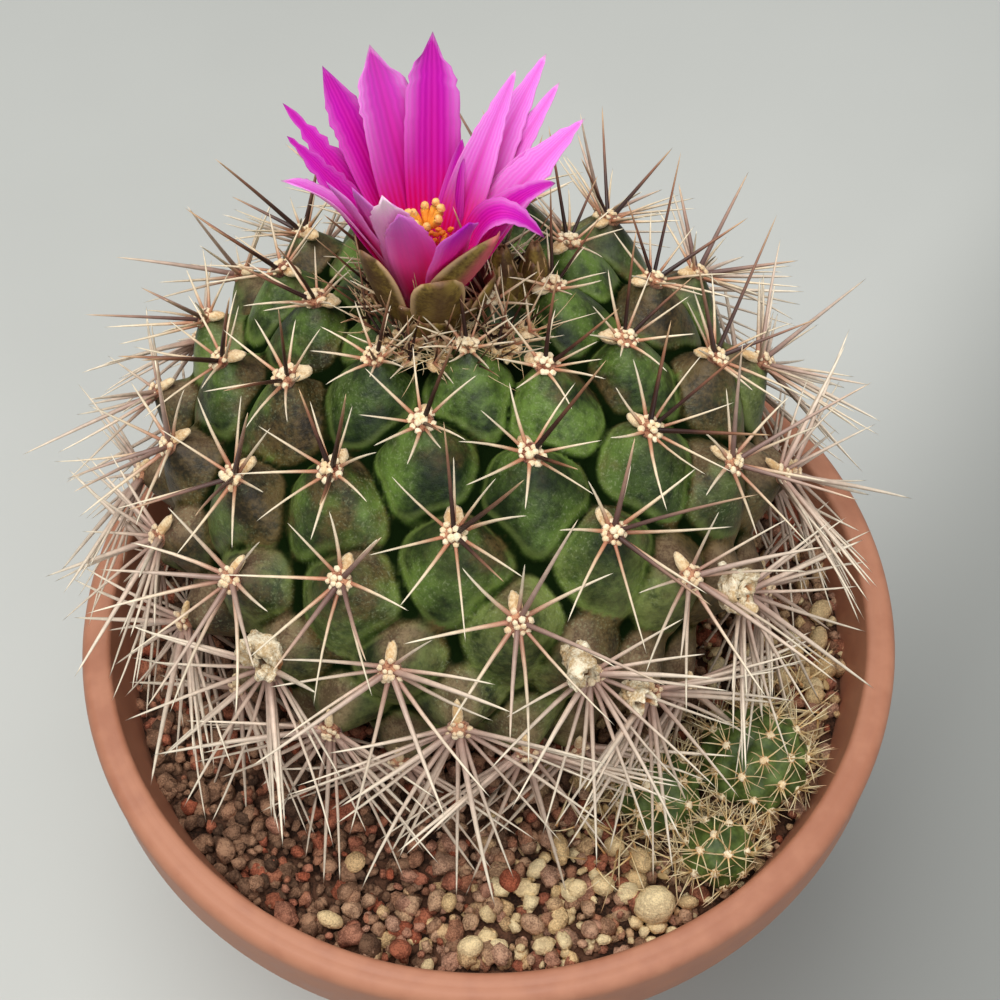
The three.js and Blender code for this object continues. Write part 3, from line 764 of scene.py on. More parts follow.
# %% Tubercle surfaces
TUBERCLE_SINK = 5
TUBERCLE_CHIN_DEPTH = 12
PLUMP_FILL, POINTED_FILL = 1.35, 1.42
PLUMPNESS, POINTED_PLUMPNESS = 1.45, 1.15
TUBERCLE_ROUNDNESS = 0.8
TUBERCLE_SIDES = 36
TUBERCLE_STEPS = 18
TUBERCLE_END = 0.985
CELL_LIMIT = 0.62
CELL_SHARPNESS = 9


def cell_reach(areoles, angle):
    """How far the ground of each areole reaches at an angle round it.

    Another areole ends it at half of the gap between the two, divided by the cosine of the angle between. All
    of these limits meet in a soft minimum: the power -1/p of the sum of their powers -p.
    """
    gap = areoles.place[None] - areoles.place[:, None]
    far = np.linalg.norm(gap, axis=-1) + np.where(np.eye(len(gap)) > 0, 1e6, 0)
    across = np.einsum("ijk,ik->ij", gap, areoles.side)
    along = np.einsum("ijk,ik->ij", gap, areoles.up)
    flat = np.hypot(across, along) + 1e-6
    facing = (across[..., None] * np.cos(angle) + along[..., None] * np.sin(angle)) / flat[..., None]
    nearness = (np.maximum(facing, 0) * 2 / far[..., None]) ** CELL_SHARPNESS
    limit = (CELL_LIMIT * areoles.spacing[:, None]) ** -CELL_SHARPNESS
    return (nearness.sum(1) + limit) ** (-1 / CELL_SHARPNESS)


def tubercle_ring(areoles, level, angle):
    """Across, along and above of points of the tubercles at a level from 0, the foot, to 1, the areole.

    The radius is the reach of the cell, evened out to a circle towards the areole, times the fill and
    (1 - level^plumpness)^roundness. The middle hangs below the areole's axis by a sine of the depth, which
    gives each young tubercle its chin, while old ones are more pointed.
    """
    cell = cell_reach(areoles, angle[0, 0])
    shape = mix(cell[:, None], cell.mean(1)[:, None, None], level ** 1.5)
    pointed = areoles.pointed[:, None, None]
    plumpness = mix(PLUMPNESS, POINTED_PLUMPNESS, pointed)
    radius = mix(PLUMP_FILL, POINTED_FILL, pointed) * shape * (1 - level ** plumpness) ** TUBERCLE_ROUNDNESS
    above = -(areoles.height + TUBERCLE_SINK)[:, None, None] * (1 - level) + 0 * angle
    sag = areoles.chin[:, None, None] * np.sin(math.pi / 2 * np.minimum(1, -above / TUBERCLE_CHIN_DEPTH))
    return radius * np.cos(angle), radius * np.sin(angle) - sag, above


level = np.linspace(0, TUBERCLE_END, TUBERCLE_STEPS)[None, :, None]
angle = even_turns(TUBERCLE_SIDES)[None, None, :]
rings = areoles.local(*tubercle_ring(areoles, level, angle))
foot = areoles.place - areoles.out * (areoles.height + TUBERCLE_SINK)[:, None]
tubercles = skins(rings, foot, areoles.place)
print("tubercles:", len(rings), "surfaces of", TUBERCLE_STEPS, "by", TUBERCLE_SIDES, "points")

# %% Core under the tubercles
CORE_RADIUS = 51.2
CORE_RISE = 38.2
CORE_ROOT_DEPTH = 48
CORE_TAPER_DEPTH = 60
CORE_TAPER_POWER = 2.2
CORE_COLUMNS = 72
depth = np.linspace(CORE_ROOT_DEPTH, 0, 14)
lower = np.stack([CORE_RADIUS * np.sqrt(1 - (depth / CORE_TAPER_DEPTH) ** CORE_TAPER_POWER), -depth], -1)
rise = np.radians(np.arange(6, 90, 6))
higher = np.stack([CORE_RADIUS * np.cos(rise), CORE_RISE * np.sin(rise)], -1)
profile = np.concatenate([[[0, -CORE_ROOT_DEPTH]], lower, higher, [[0, CORE_RISE]]])
points, faces = turned(profile, CORE_COLUMNS)
core = points @ body_turn().T + BODY_CENTRE, faces

# %% Join to one skin
VOXEL = 0.88
SMOOTHING_ROUNDS = 3
SMOOTHING_SHARE = 0.5


def fused(name, points, faces, voxel):
    """One skin round closed surfaces that pass through each other: a voxel remesh and rounds of smoothing."""
    rough = put("rough_" + name, make_mesh("rough_" + name, points, faces))
    union = rough.modifiers.new("union", "REMESH")
    union.mode = "VOXEL"
    union.voxel_size = voxel * MM
    soften = rough.modifiers.new("soften", "SMOOTH")
    soften.factor = SMOOTHING_SHARE
    soften.iterations = SMOOTHING_ROUNDS
    mesh = worked_out(rough)
    bpy.data.objects.remove(rough)
    mesh.name = name
    print("skin:", name, len(mesh.vertices), "points")
    return mesh


def mesh_points(mesh):
    """The points of a mesh, in mm."""
    points = np.zeros(len(mesh.vertices) * 3)
    mesh.vertices.foreach_get("co", points)
    return points.reshape(-1, 3) / MM


skin_mesh = fused("cactus_skin", *together(core, tubercles), VOXEL)

# %% [markdown]
# The colour of a tubercle follows its shape. The creases are darkened as painted shade, the shoulders get a
# paler band that is partly painted sheen, and a corky brown spreads from behind the areole as the tubercle
# ages, with more brown painted on the right as shade. The material can only know this if the mesh carries it,
# so each point gets a few numbers: how deep it lies in a crease, how close it is to the pad, and how brown
# its own tubercle is.


# %% Noise for shapes
def cloud(points, size, seed=0):
    """Value noise from -1 to 1: random numbers at the corners of cubes of that size, eased between them."""
    cell = np.floor(points / size)
    part = points / size - cell
    part = part * part * (3 - 2 * part)
    total = np.zeros(points.shape[:-1])
    for corner in np.ndindex(2, 2, 2):
        weight = np.prod(np.where(corner, part, 1 - part), -1)
        wave = np.sin((cell + corner) @ [12.9898, 78.233, 37.719] + seed * 4.1414) * 43758.5453
        total += weight * (wave - np.floor(wave))
    return 2 * total - 1


# %% Creases
HOLLOW_ROUNDS = 40


def hollows(mesh, rounds):
    """How far each point lies below the same surface smoothed by rounds of neighbour averages, in mm."""
    points = mesh_points(mesh)
    edges = np.zeros(len(mesh.edges) * 2, np.int32)
    mesh.edges.foreach_get("vertices", edges)
    first, second = edges.reshape(-1, 2).T
    start, end = np.concatenate([first, second]), np.concatenate([second, first])
    degree = np.bincount(start, minlength=len(points))
    even = points
    for _ in range(rounds):
        even = np.stack([np.bincount(start, even[end, axis], len(points)) / degree for axis in range(3)], -1)
    normals = np.zeros(len(points) * 3)
    mesh.vertex_normals.foreach_get("vector", normals)
    return np.einsum("ij,ij->i", even - points, normals.reshape(-1, 3))


hollow = hollows(skin_mesh, HOLLOW_ROUNDS)
print("hollows in mm, from ridges to creases:", np.percentile(hollow, [2, 25, 50, 75, 98]).round(2))

# %% Numbers for the skin's colour
BROWNED = {
    11: 0.45, 13: 0.3, 16: 0.6, 20: 0.6, 21: 0.55, 24: 0.55, 26: 0.35, 28: 0.65, 29: 0.7, 31: 0.3, 34: 0.5,
    36: 0.5, 37: 0.7, 42: 0.45, 44: 0.4, 45: 0.7, 49: 0.8, 50: 0.6, 52: 0.6, 57: 0.85, 58: 0.7, 62: 0.8,
    65: 1.0, 70: 0.9, 78: 0.95,
}


def nearest_tubercle(points):
    """The index of the tubercle whose middle lies nearest to each point."""
    middle = areoles.place - areoles.out * (0.5 * areoles.height)[:, None]
    middle = middle - areoles.up * areoles.chin[:, None]
    nearest, first = np.zeros(len(points), int), np.full(len(points), 1e9)
    for index, spot in enumerate(middle):
        far = np.linalg.norm(points - spot, axis=1)
        nearest = np.where(far < first, index, nearest)
        first = np.minimum(far, first)
    return nearest


def skin_values(points):
    """Halo, brown and age of each skin point: closeness to the pad, cork with painted shade on the right, and
    its tubercle's age.
    """
    nearest = nearest_tubercle(points)
    from_tip = points - areoles.place[nearest]
    upside, across = (np.einsum("ij,ij->i", from_tip, axis[nearest]) / areoles.spacing[nearest]
                      for axis in (areoles.up, areoles.side))
    browned = np.array([BROWNED.get(int(n), 0.12 + 0.4 * draw(n, 91)) for n in areoles.n])[nearest]
    age = areoles.age[nearest]
    blotch = 0.6 * cloud(points, 7, 3) + 0.3 * cloud(points, 2.6, 4) + 0.15 * cloud(points, 1.1, 5)
    halo = np.exp(-(np.hypot(across, upside - 0.18) / 0.26) ** 2) * mix(0.25, 1.1, age) + 0.2 * blotch
    # Painted shade mixed into the cork: the tubercles are browner towards the right of the plant, away from
    # the window.
    shaded = 0.14 * smoothstep(0, 60, points[:, 0])
    brown = browned + shaded + 0.45 * blotch + 0.35 * np.minimum(upside, 0.3) + 0.25 * across
    return {"halo": np.clip(halo, 0, 1), "brown": smoothstep(0.36, 0.64, brown), "age": age}


add_values(skin_mesh, hollow=hollow, **skin_values(mesh_points(skin_mesh)))

# %% Cactus flesh
material, nodes, surface = make_material("cactus_flesh", IOR=1.45)
young = tones(nodes, (12, 29, 4), (106, 134, 58), 90.0, 0.35)
old = tones(nodes, (30, 42, 12), (128, 138, 76), 110.0, 0.5)
color = nodes.blend(nodes.remap(nodes.value("age"), 0.15, 0.8), young, old)
color = nodes.blend(nodes.remap(nodes.noise(45.0, detail=2), 0.4, 0.6, 0.5, 0.0), color, chart(18, 34, 10))
hollow = nodes.value("hollow")
# A paler green band on the shoulders beside the creases: partly the flesh's own paler margin, partly a
# painted sheen.
sheen_and_pale_rim = nodes.times(nodes.remap(hollow, -0.15, 0.25), nodes.remap(hollow, 0.9, 0.35))
color = nodes.blend(nodes.times(sheen_and_pale_rim, 0.26), color, chart(132, 150, 76))
bark = tones(nodes, (36, 26, 12), (98, 78, 46), 170.0, 0.6)
color = nodes.blend(nodes.times(nodes.value("brown"), 0.9), color, bark)
scar = tones(nodes, (86, 62, 44), (134, 112, 84), 300.0, 0.7)
color = nodes.blend(nodes.remap(nodes.value("halo"), 0.3, 0.95, 0.0, 0.85), color, scar)
scurf = nodes.times(nodes.remap(nodes.noise(2000.0, detail=4), 0.52, 0.7),
                    nodes.remap(nodes.noise(90.0, detail=2), 0.36, 0.62))
color = nodes.blend(nodes.times(scurf, 0.34), color, chart(164, 172, 134))
# Painted shade: the flesh darkens to a near black-green down in the creases between tubercles.
color = nodes.blend(nodes.remap(hollow, 0.42, 1.08), color, chart(14, 25, 8))
wrinkle = nodes.noise(240.0, detail=6, roughness=0.66)
feed(nodes, surface, Base_Color=color, Normal=nodes.bump(wrinkle, 0.5, 0.001),
     Roughness=nodes.remap(nodes.plus(nodes.value("halo"), scurf), 0, 1, 0.4, 0.75),
     Specular_IOR_Level=nodes.remap(hollow, 0.1, 0.8, 0.44, 0.0))
dress("cactus_skin", skin_mesh, material, ["cactus_body"])

# %% [markdown]
# ## Wool of the areoles
#
# Every tubercle ends in an areole, the cushion of felt from which the spines grow. Seen close it is a
# cluster of cream knobs, one round each spine's root, with a longer pad of the same felt towards the
# apex, where flowers come from. On old tubercles the pad dries to a narrow slit. Hair strands would be
# lost in an export, so the felt is modelled as soft lumps with fine bump, whose sheen gives it its matt,
# woolly edge.

# %% Felt
felt_wool, nodes, surface = make_material("felt", Roughness=0.95, Specular_IOR_Level=0.15, Sheen_Weight=0.25)
felt = tones(nodes, (234, 204, 158), (255, 240, 206), 420.0, 0.6)
worn = tones(nodes, (214, 180, 142), (248, 226, 190), 420.0, 0.7)
color = nodes.blend(nodes.remap(nodes.value("age"), 0.35, 1.0), felt, worn)
cushion = tones(nodes, (104, 54, 38), (206, 150, 116), 500.0, 0.6)
pad = tones(nodes, (216, 176, 124), (250, 226, 184), 300.0, 0.7)
color = nodes.blend(nodes.math("GREATER_THAN", nodes.value("part"), 0.5), color, pad)
color = nodes.blend(nodes.math("GREATER_THAN", nodes.value("part"), 1.5), color, cushion)
feed(nodes, surface, Base_Color=color, Normal=pores(nodes, 3800.0, 0.5, 0.0003))

# %% Cushions
CUSHION_RADIUS = 2.2
random = np.random.default_rng(8)
count = len(areoles.n)
axes = np.stack([areoles.side, areoles.up, areoles.out], 1)
growth = mix(0.6, 1.0, np.clip(areoles.n / 10, 0, 1))
cushion_radii = growth[:, None] * CUSHION_RADIUS * np.array([1, 1, 0.62])
cushion_radii = cushion_radii * mix(0.9, 1.1, random.random((count, 1)))
cushion_places = areoles.local(*np.zeros((2, count)), np.full(count, -1.0))
cushions = lumps(random, cushion_places, cushion_radii, axes, 12, 6, 0.1)

# %% Pads
age = areoles.age
pad_size = growth * mix(0.72, 1.1, draw(areoles.n, 95))
pad_reach = mix(2.3, 2.8, age) * growth
pad_way = unit(areoles.up - mix(0.55, 0.4, age)[:, None] * areoles.out)
pad_axes = np.stack([areoles.side, pad_way, np.cross(areoles.side, pad_way)], 1)
pad_radii = np.stack([mix(2.0, 0.85, age) * pad_size, mix(2.8, 3.2, age) * pad_size, mix(1.0, 0.8, age)], -1)
pad_places = areoles.place + pad_way * pad_reach[:, None] - 0.55 * areoles.out
pads = lumps(random, pad_places, pad_radii, pad_axes, 14, 9, 0.1)

# %% Knobs
KNOB_RING = 9
KNOB_CORE = 4
KNOBS = KNOB_RING + KNOB_CORE
ring_angle = np.concatenate([even_turns(KNOB_RING), even_turns(KNOB_CORE) + 0.4])
ring_reach = np.repeat([1.95, 0.75], [KNOB_RING, KNOB_CORE])
knob_reach = growth[:, None] * ring_reach * mix(0.85, 1.15, random.random((count, KNOBS)))
knob_turn = ring_angle + 0.5 * random.random((count, KNOBS))
knob_above = np.where(ring_reach > 1, -0.55, 0.25) + 0.3 * random.random((count, KNOBS))
knob_places = areoles.local(knob_reach * np.sin(knob_turn), knob_reach * np.cos(knob_turn), knob_above)
knob_radii = mix(0.5, 0.84, random.random(knob_turn.size))[:, None] * np.array([1, 1, 0.7])
knobs = lumps(random, knob_places.reshape(-1, 3), knob_radii, np.repeat(axes, KNOBS, 0), 6, 3, 0.12)

# %% Join the wool
KNOB_PART, PAD_PART, CUSHION_PART = 0, 1, 2
kinds = [(cushions, CUSHION_PART, age), (pads, PAD_PART, age), (knobs, KNOB_PART, np.repeat(age, KNOBS))]
make_piece("areole_wool", *together(cushions, pads, knobs), felt_wool,
           age=np.concatenate([per_point(lump[0], ages) for lump, _, ages in kinds]),
           part=np.concatenate([np.full(len(lump[0]), part) for lump, part, _ in kinds]))

# %% [markdown]
# ## Spines
#
# A spine is a hard needle that keeps most of its width for half of its length and then runs out to a sharp
# point. The radials lie in a flat star round the areole, and the centrals stand up from its middle. Near
# the apex the centrals are nearly black at their root. Old areoles at the foot of the plant carry long,
# pale grey-pink spines that fan out over the grit. One function makes all of them as five-sided tubes
# along a bent path.

# %% Spine tubes
SPINE_LEVELS = np.array([0, 0.06, 0.3, 0.55, 0.78, 0.92, 1.0])
SPINE_SIDES = 5


def tubes(paths, radii, sides):
    """Round tubes along paths (count, steps, 3) with radii (count, steps). The end points are poles."""
    along = unit(np.gradient(paths, axis=1))
    helper = np.where(np.abs(along[..., 2:]) > 0.9, [1.0, 0, 0], [0, 0, 1.0])
    across = unit(np.cross(helper, along))
    ring = between(across[:, :, None], np.cross(along, across)[:, :, None], even_turns(sides))
    rings = paths[:, :, None] + radii[:, :, None, None] * ring
    return skins(rings[:, :-1], paths[:, 0], paths[:, -1])


def spines(root, way, length, radius, bend):
    """Needles: place = root + way s + bend s^2 for a share s of the length, and radius = foot (1 - s)^0.5.

    The foot is a third wider still.
    """
    share = SPINE_LEVELS[None, :]
    straight = root[:, None] + share[..., None] * (way * length[:, None])[:, None]
    paths = straight + share[..., None] ** 2 * bend[:, None]
    radii = radius[:, None] * (1 - share) ** 0.5 * (1 + 0.35 * np.exp(-share / 0.04))
    return tubes(paths, radii, SPINE_SIDES)


def along_spines(count):
    """The share of the length at each point of each spine: rings first, then the foot and the tip."""
    return np.tile(np.concatenate([np.repeat(SPINE_LEVELS[:-1], SPINE_SIDES), [0, 1]]), count)


# %% Directions of the spines
YOUNG_RADIAL, OLD_RADIAL = 13, 21
YOUNG_RADIAL_RISE, OLD_RADIAL_RISE = 0.6, 0.4
YOUNG_CENTRAL, OLD_CENTRAL = 20, 35
YOUNG_CENTRAL_RISE, OLD_CENTRAL_RISE = 1.2, 0.6
YOUNG_CENTRAL_LEAN, OLD_CENTRAL_LEAN = 0.5, math.pi
DROOP = 0.9
MAX_REACH = 90
FAN_CLOSING = 0.42
RADIAL_EDGE = 1.5
CENTRAL_EDGE = 0.4
ROOT_DEPTH = 0.9
RIM_CLEARANCE = 1.5


def grown(areoles, owner, turn, rise, length, edge):
    """Roots, ways and lengths of spines that leave areole owner at turn from the apex way and rise."""
    flat = between(areoles.up[owner], areoles.side[owner], turn)
    root = areoles.place[owner] + flat * edge - areoles.out[owner] * ROOT_DEPTH
    way = lifted(root, between(flat, areoles.out[owner], rise), length)
    far = np.hypot(*(root + way * length[:, None])[:, :2].T)
    return root, way, length * np.minimum(1, 1 - 1.2 * (far - MAX_REACH) / length)


def lifted(root, way, length):
    """Ways turned up where a spine would meet the grit or the pot's rim."""
    end = root + way * length[:, None]
    end[:, 2] = np.maximum(end[:, 2], SOIL_TOP + 3)
    reach, far = np.hypot(*root[:, :2].T), np.hypot(*end[:, :2].T)
    share = np.clip((RIM_INNER_RADIUS - 1 - reach) / np.maximum(far - reach, 0.1), 0.12, 1)
    over_rim = (far > RIM_INNER_RADIUS - 1) & (reach < RIM_INNER_RADIUS)
    least = root[:, 2] + (POT_HEIGHT + RIM_CLEARANCE - root[:, 2]) / share
    end[:, 2] = np.where(over_rim, np.maximum(end[:, 2], least), end[:, 2])
    return unit(end - root)


def inside_pot(root, way, length, bend):
    """Lengths cut back, as a broken spine is, until none is in the pot's wall; bend is for length 1."""
    share = np.linspace(0.1, 1, 12)[:, None, None]
    for _ in range(14):
        path = root + share * (way + share * bend) * length[:, None]
        height = path[..., 2]
        beyond = np.hypot(path[..., 0], path[..., 1]) > inner_radius_at(height) - 0.5
        wall = (height < POT_HEIGHT + 0.6) & beyond
        length = np.where(wall.any(0), 0.88 * length, length)
    return length


# %% Radials and centrals
def counted(counts):
    """Owner and number of items when owner i has counts[i] of them."""
    owner = np.repeat(np.arange(len(counts)), counts)
    return owner, np.arange(len(owner)) - np.repeat(np.cumsum(counts) - counts, counts)


def radial_spines(areoles):
    """Radials: a few main ones, whose directions are drawn, and even steps between them."""
    mains = np.where(areoles.n < 12, 3, 4)
    steps = np.where((areoles.n < 12) | ((areoles.n > 47) & (areoles.n < 76)), 3, 2)
    owner, number = counted(mains * steps)
    n, main, share = areoles.n[owner], number // steps[owner], (number % steps[owner]) / steps[owner]
    around = mains[owner]
    following = (main + 1) % around
    here = main + 0.25 + 0.5 * draw(n, main)
    there = main + 1 + 0.25 + 0.5 * draw(n, following)
    turn = (TAU * mix(here, there, share) / around + draw(n, 40)) % TAU
    turn = math.pi + (turn - math.pi) * (1 - FAN_CLOSING * smoothstep(0.55, 1, areoles.age[owner]))
    question = np.where(share == 0, main, 100 + number)
    age = areoles.age[owner]
    rise = mix(YOUNG_RADIAL_RISE, OLD_RADIAL_RISE, age) + 0.3 * (draw(n, question + 10) - 0.5)
    down = (1 - np.cos(turn)) / 2
    vigour = mix(0.85, 1.15, draw(n, question + 20))
    length = mix(YOUNG_RADIAL, OLD_RADIAL, age) * vigour * (0.75 + DROOP * down * age)
    return owner, *grown(areoles, owner, turn, rise, length, RADIAL_EDGE)


def central_spines(areoles):
    """Centrals: the first leans to the apex on young areoles, away from it on old ones, and others aside."""
    owner, number = counted(np.select([areoles.n < 6, areoles.n < 20, areoles.n < 50], [1, 2, 3], 4))
    n, age = areoles.n[owner], areoles.age[owner]
    aside = np.array([0, 1.5, -1.3, 0.7])[number]
    lean = mix(YOUNG_CENTRAL_LEAN, OLD_CENTRAL_LEAN, age) + 1.2 * (draw(n, 30) - 0.5) + aside
    lean += np.where(number > 0, 0.6 * (draw(n, 32 + number) - 0.5), 0)
    rise = mix(YOUNG_CENTRAL_RISE, OLD_CENTRAL_RISE, age) - 0.12 * number
    vigour = np.where(number == 0, mix(0.85, 1.1, draw(n, 31)), mix(0.6, 0.92, draw(n, 36 + number)))
    length = mix(YOUNG_CENTRAL, OLD_CENTRAL, age) * vigour
    return owner, *grown(areoles, owner, lean, rise, length, CENTRAL_EDGE)


# %% Spine colours
spine_horn, nodes, surface = make_material("spine_horn", Roughness=0.42, Specular_IOR_Level=0.45)
along = nodes.value("along")
radial = nodes.ramp(along, (0.0, 178, 112, 88), (0.15, 204, 146, 112), (0.45, 241, 217, 182),
                    (1.0, 252, 240, 214))
central = nodes.ramp(along, (0.0, 28, 14, 14), (0.35, 66, 36, 28), (0.7, 150, 100, 74), (1.0, 226, 190, 146))
faded = nodes.ramp(along, (0.0, 96, 62, 56), (0.25, 150, 116, 108), (0.7, 206, 174, 156),
                   (1.0, 240, 216, 184))
old = nodes.ramp(along, (0.0, 174, 134, 120), (0.3, 220, 194, 174), (1.0, 252, 240, 216))
central = nodes.blend(nodes.remap(nodes.value("age"), 0.3, 0.65), central, faded)
color = nodes.blend(nodes.value("central"), radial, central)
color = nodes.blend(nodes.remap(nodes.value("age"), 0.45, 0.85), color, old)
grime = nodes.remap(nodes.noise(600.0, detail=2), 0.35, 0.7, 0.84, 1.0)
shade = nodes.times(grime, nodes.plus(nodes.times(nodes.value("vary"), 0.22), 0.86))
grey = nodes.add("ShaderNodeCombineColor", {0: shade, 1: shade, 2: shade}).outputs[0]
feed(nodes, surface, Base_Color=nodes.blend(1.0, color, grey, "MULTIPLY"))


# %% Make the spines
def make_spines(name, found, thickness, curl, central, seed):
    """One piece of spines, with their colour numbers; curl bends them by a share of their length."""
    owner, root, way, length = found
    random = np.random.default_rng(seed)
    aside = unit(np.cross(way, random.normal(size=way.shape)))
    bend = aside * (curl * random.random(len(length)))[:, None] - np.array([0, 0, 0.35 * curl])
    length = inside_pot(root, way, length, bend)
    age = areoles.age[owner]
    radius = mix(*thickness, age) * mix(0.85, 1.15, random.random(len(age)))
    points, faces = spines(root, way, length, radius, bend * length[:, None])
    make_piece(name, points, faces, spine_horn, along=along_spines(len(length)), age=per_point(points, age),
               central=np.full(len(points), central), vary=per_point(points, random.random(len(length))))
    print(name, len(length), "spines, longest", length.max().round(1), "mm")


make_spines("radial_spines", radial_spines(areoles), (0.31, 0.46), curl=0.13, central=0.0, seed=21)
make_spines("central_spines", central_spines(areoles), (0.4, 0.62), curl=0.07, central=1.0, seed=22)

# %% [markdown]
# ## The flower
#
# One funnel-shaped flower stands beside the apex. Its petals are straps of silky tissue in three layers:
# nearly parallel sides, a fine point, edges that lift a little, and a darker stripe along the middle. A
# petal is a surface of two parameters, the share along it and the share across it, so its stripe and its
# pale margin are simply functions of the same two numbers, which the mesh keeps for the material. The
# brown-green scales of the tube are the same surface with broader proportions.


# %% Blades
def strap(share, widest, foot_width, point_power):
    """Half width along a blade: a quarter sine up from the foot, then (1 - x^power)^0.75 to the point."""
    rising = mix(foot_width, 1, np.sin(math.pi / 2 * np.minimum(share / widest, 1)))
    falling = (1 - np.clip((share - widest) / (1 - widest), 0, 1) ** point_power) ** 0.75
    return rising * falling


def blades(centre, turn, foot, bend, tip, width, thickness=0.35, widest=0.55, foot_width=0.4, point_power=2.4,
           cup=0.16, hook=0.0, twist=0.0, roll=0.0, ripple=0.0, ragged=0.0, torn=0.0, sway=0.0, steps=20,
           columns=9):
    """Petals or scales round an upright axis at centre, with numbers for the material.

    The middle line is a quadratic curve of radius and height from foot over bend to tip; hook pulls its end
    down by share^6. Edges lift by cup times the square of the share across, roll and twist turn the blade
    about its middle line, ripple waves its edges, ragged notches its edges, torn draws back its end beside
    two teeth, and sway moves it aside by share^3. Each section is a thin lens, so that every blade is closed.
    """
    count = len(turn)
    width, widest, point_power, cup, hook, twist, ripple, ragged, torn, sway = (
        np.broadcast_to(np.asarray(value, float), (count,))[:, None]
        for value in (width, widest, point_power, cup, hook, twist, ripple, ragged, torn, sway)
    )
    number = np.arange(count)[:, None]
    share = np.linspace(0, 1, steps + 1)[None, :]

    weights = np.stack([(1 - share) ** 2, 2 * share * (1 - share), share ** 2], -1)
    middle = weights @ np.stack([foot, bend, tip], 1)
    middle = middle + np.stack([0.35 * hook * share ** 6, -hook * share ** 6], -1)
    tangent = unit(np.gradient(middle, axis=1))
    rise = np.array([0, 0, 1.0])
    away = circling(turn)[:, None]
    sideways = np.cross(rise, away)
    spine = centre + middle[..., :1] * away + middle[..., 1:] * rise
    spine = spine + (sway * share ** 3)[..., None] * sideways
    along_blade = tangent[..., :1] * away + tangent[..., 1:] * rise
    inward = tangent[..., :1] * rise - tangent[..., 1:] * away
    angle = roll + twist * share ** 1.5
    across, inward = between(sideways, inward, angle), between(inward, -sideways, angle)

    half = width / 2 * strap(share, widest, foot_width, point_power)
    teeth = 0.5 + 0.3 * np.sin(140 * share + 2.1 * number) + 0.2 * np.sin(57 * share + number)
    half = half * (1 - ragged * teeth * smoothstep(0.6, 0.9, share))
    side = np.concatenate([np.linspace(1, -1, columns), np.linspace(-1, 1, columns)])
    face = np.repeat([1.0, -1.0], columns)
    wave = ripple * np.sin(TAU * (2.5 * share + 0.37 * number))
    lift = (cup * 2 * half)[..., None] * side ** 2 + (wave * share)[..., None] * side ** 2 * np.sign(side)
    lift = lift - 0.18 * np.exp(-(side / 0.16) ** 2) * (half / half.max())[..., None]
    lift = lift + face * thickness / 2 * (0.25 + 0.75 * np.sqrt(1 - side ** 2))
    rings = spine[:, :, None] + (side * half[..., None])[..., None] * across[:, :, None]
    rings = rings + lift[..., None] * inward[:, :, None]

    notch = 0.42 + 0.08 * np.sin(1.7 * number)
    pull = smoothstep(0.3, -1, side) + 0.35 * np.exp(-((side - notch) / 0.15) ** 2)
    pull = pull + 0.8 * smoothstep(0.3, 1, side)
    pull = torn[..., None] * pull[:, None] * smoothstep(0.72, 1, share)[..., None]
    rings = rings - pull[..., None] * along_blade[:, :, None]

    def on_each(grid, ends):
        return np.tile(np.concatenate([grid, ends]), count)

    numbers = {
        "along": on_each(np.repeat(share[0, :-1], 2 * columns), [0, 1]),
        "across": on_each(np.tile(side, steps), [0, 0]),
        "back": on_each(np.tile(face < 0, steps), [0.5, 0.5]),
    }
    return *skins(rings[:, :-1], spine[:, 0], spine[:, -1]), numbers


# %% Petals
# Each row: direction in degrees, reach, height, width, whorl, hook, twist, paleness, bluntness, sway,
# raggedness.
FLOWER_FOOT = np.array([-9.5, 21.5, 187])
PETAL_FOOT_HEIGHT = 5
PETALS = [
    [130, 26.6, 42.5, 7.8, 2, 0, -0.6, 0.2, 1, 0, 0.2], [110, 24, 45.3, 11.6, 1, 0, 0, 0.6, 0.9, 0.8, 0.1],
    [85.5, 24.4, 46.2, 10, 1, 0, 0, 0.4, 0.9, 0.2, 0.1], [98, 25, 36, 8, 2, 0, 0, 0.4, 0.4, 0, 0],
    [52, 24.5, 42.5, 7.4, 0, 0, 0.3, 1.0, 0, -0.8, 0.15], [64, 14.6, 32.5, 5.4, 0, 0, 0, 0.1, 0, 0, 0],
    [49, 32, 41.5, 8.2, 1, 0, 0.2, 0.95, 0, 0, 0.2], [42, 31.3, 38, 6.6, 2, 0, 0.2, 1.0, 0, 0, 0.1],
    [34, 22, 31, 7.4, 0, 0, 0.1, 0.9, 0, 0, 0], [25, 29.8, 38, 8.4, 1, 1, 0.2, 1.0, 0.1, 0, 0.25],
    [5, 20.5, 37.5, 8.0, 0, 5, 0.2, 0.45, 0, 0, 0.15], [-10, 15.5, 40, 8.0, 1, 15, 0.1, 0.4, 0, 0, 0.2],
    [-66, 17.5, 41, 8.4, 1, 0, 0, 0.0, 1, 0.8, 0], [-102, 11.5, 38.5, 8.6, 0, 0, 0, 0.3, 0.4, -1.2, 0.1],
    [-121, 11.6, 41.5, 8.2, 1, 0, 0.1, 1.0, 0.8, 0, 0.1], [-148, 13, 40.5, 8.2, 0, 0, 0.1, 0.3, 0.6, 0, 0],
    [-166, 16, 39, 8.0, 1, 0, 0.2, 0.3, 0.6, 0, 0.1], [180, 21.8, 40.5, 9.6, 2, 5, 0.3, 0.8, 0.4, 0, 0.1],
    [156, 25, 37, 7, 2, 1, -0.8, 0.1, 0, 0, 0.5], [145, 29.2, 38.5, 7.4, 2, 1, -0.8, 0.1, 0, 0, 0.5],
]
turn, reach, height, width, whorl, hook, twist, pale, blunt, sway, ragged = np.array(PETALS).T
foot_radius = 3.9 + 0.5 * whorl
feet = np.stack([foot_radius, np.full(len(PETALS), PETAL_FOOT_HEIGHT)], -1)
bends = np.stack([foot_radius + 1.4 + 0.07 * reach, (0.5 + 0.009 * hook) * height], -1)
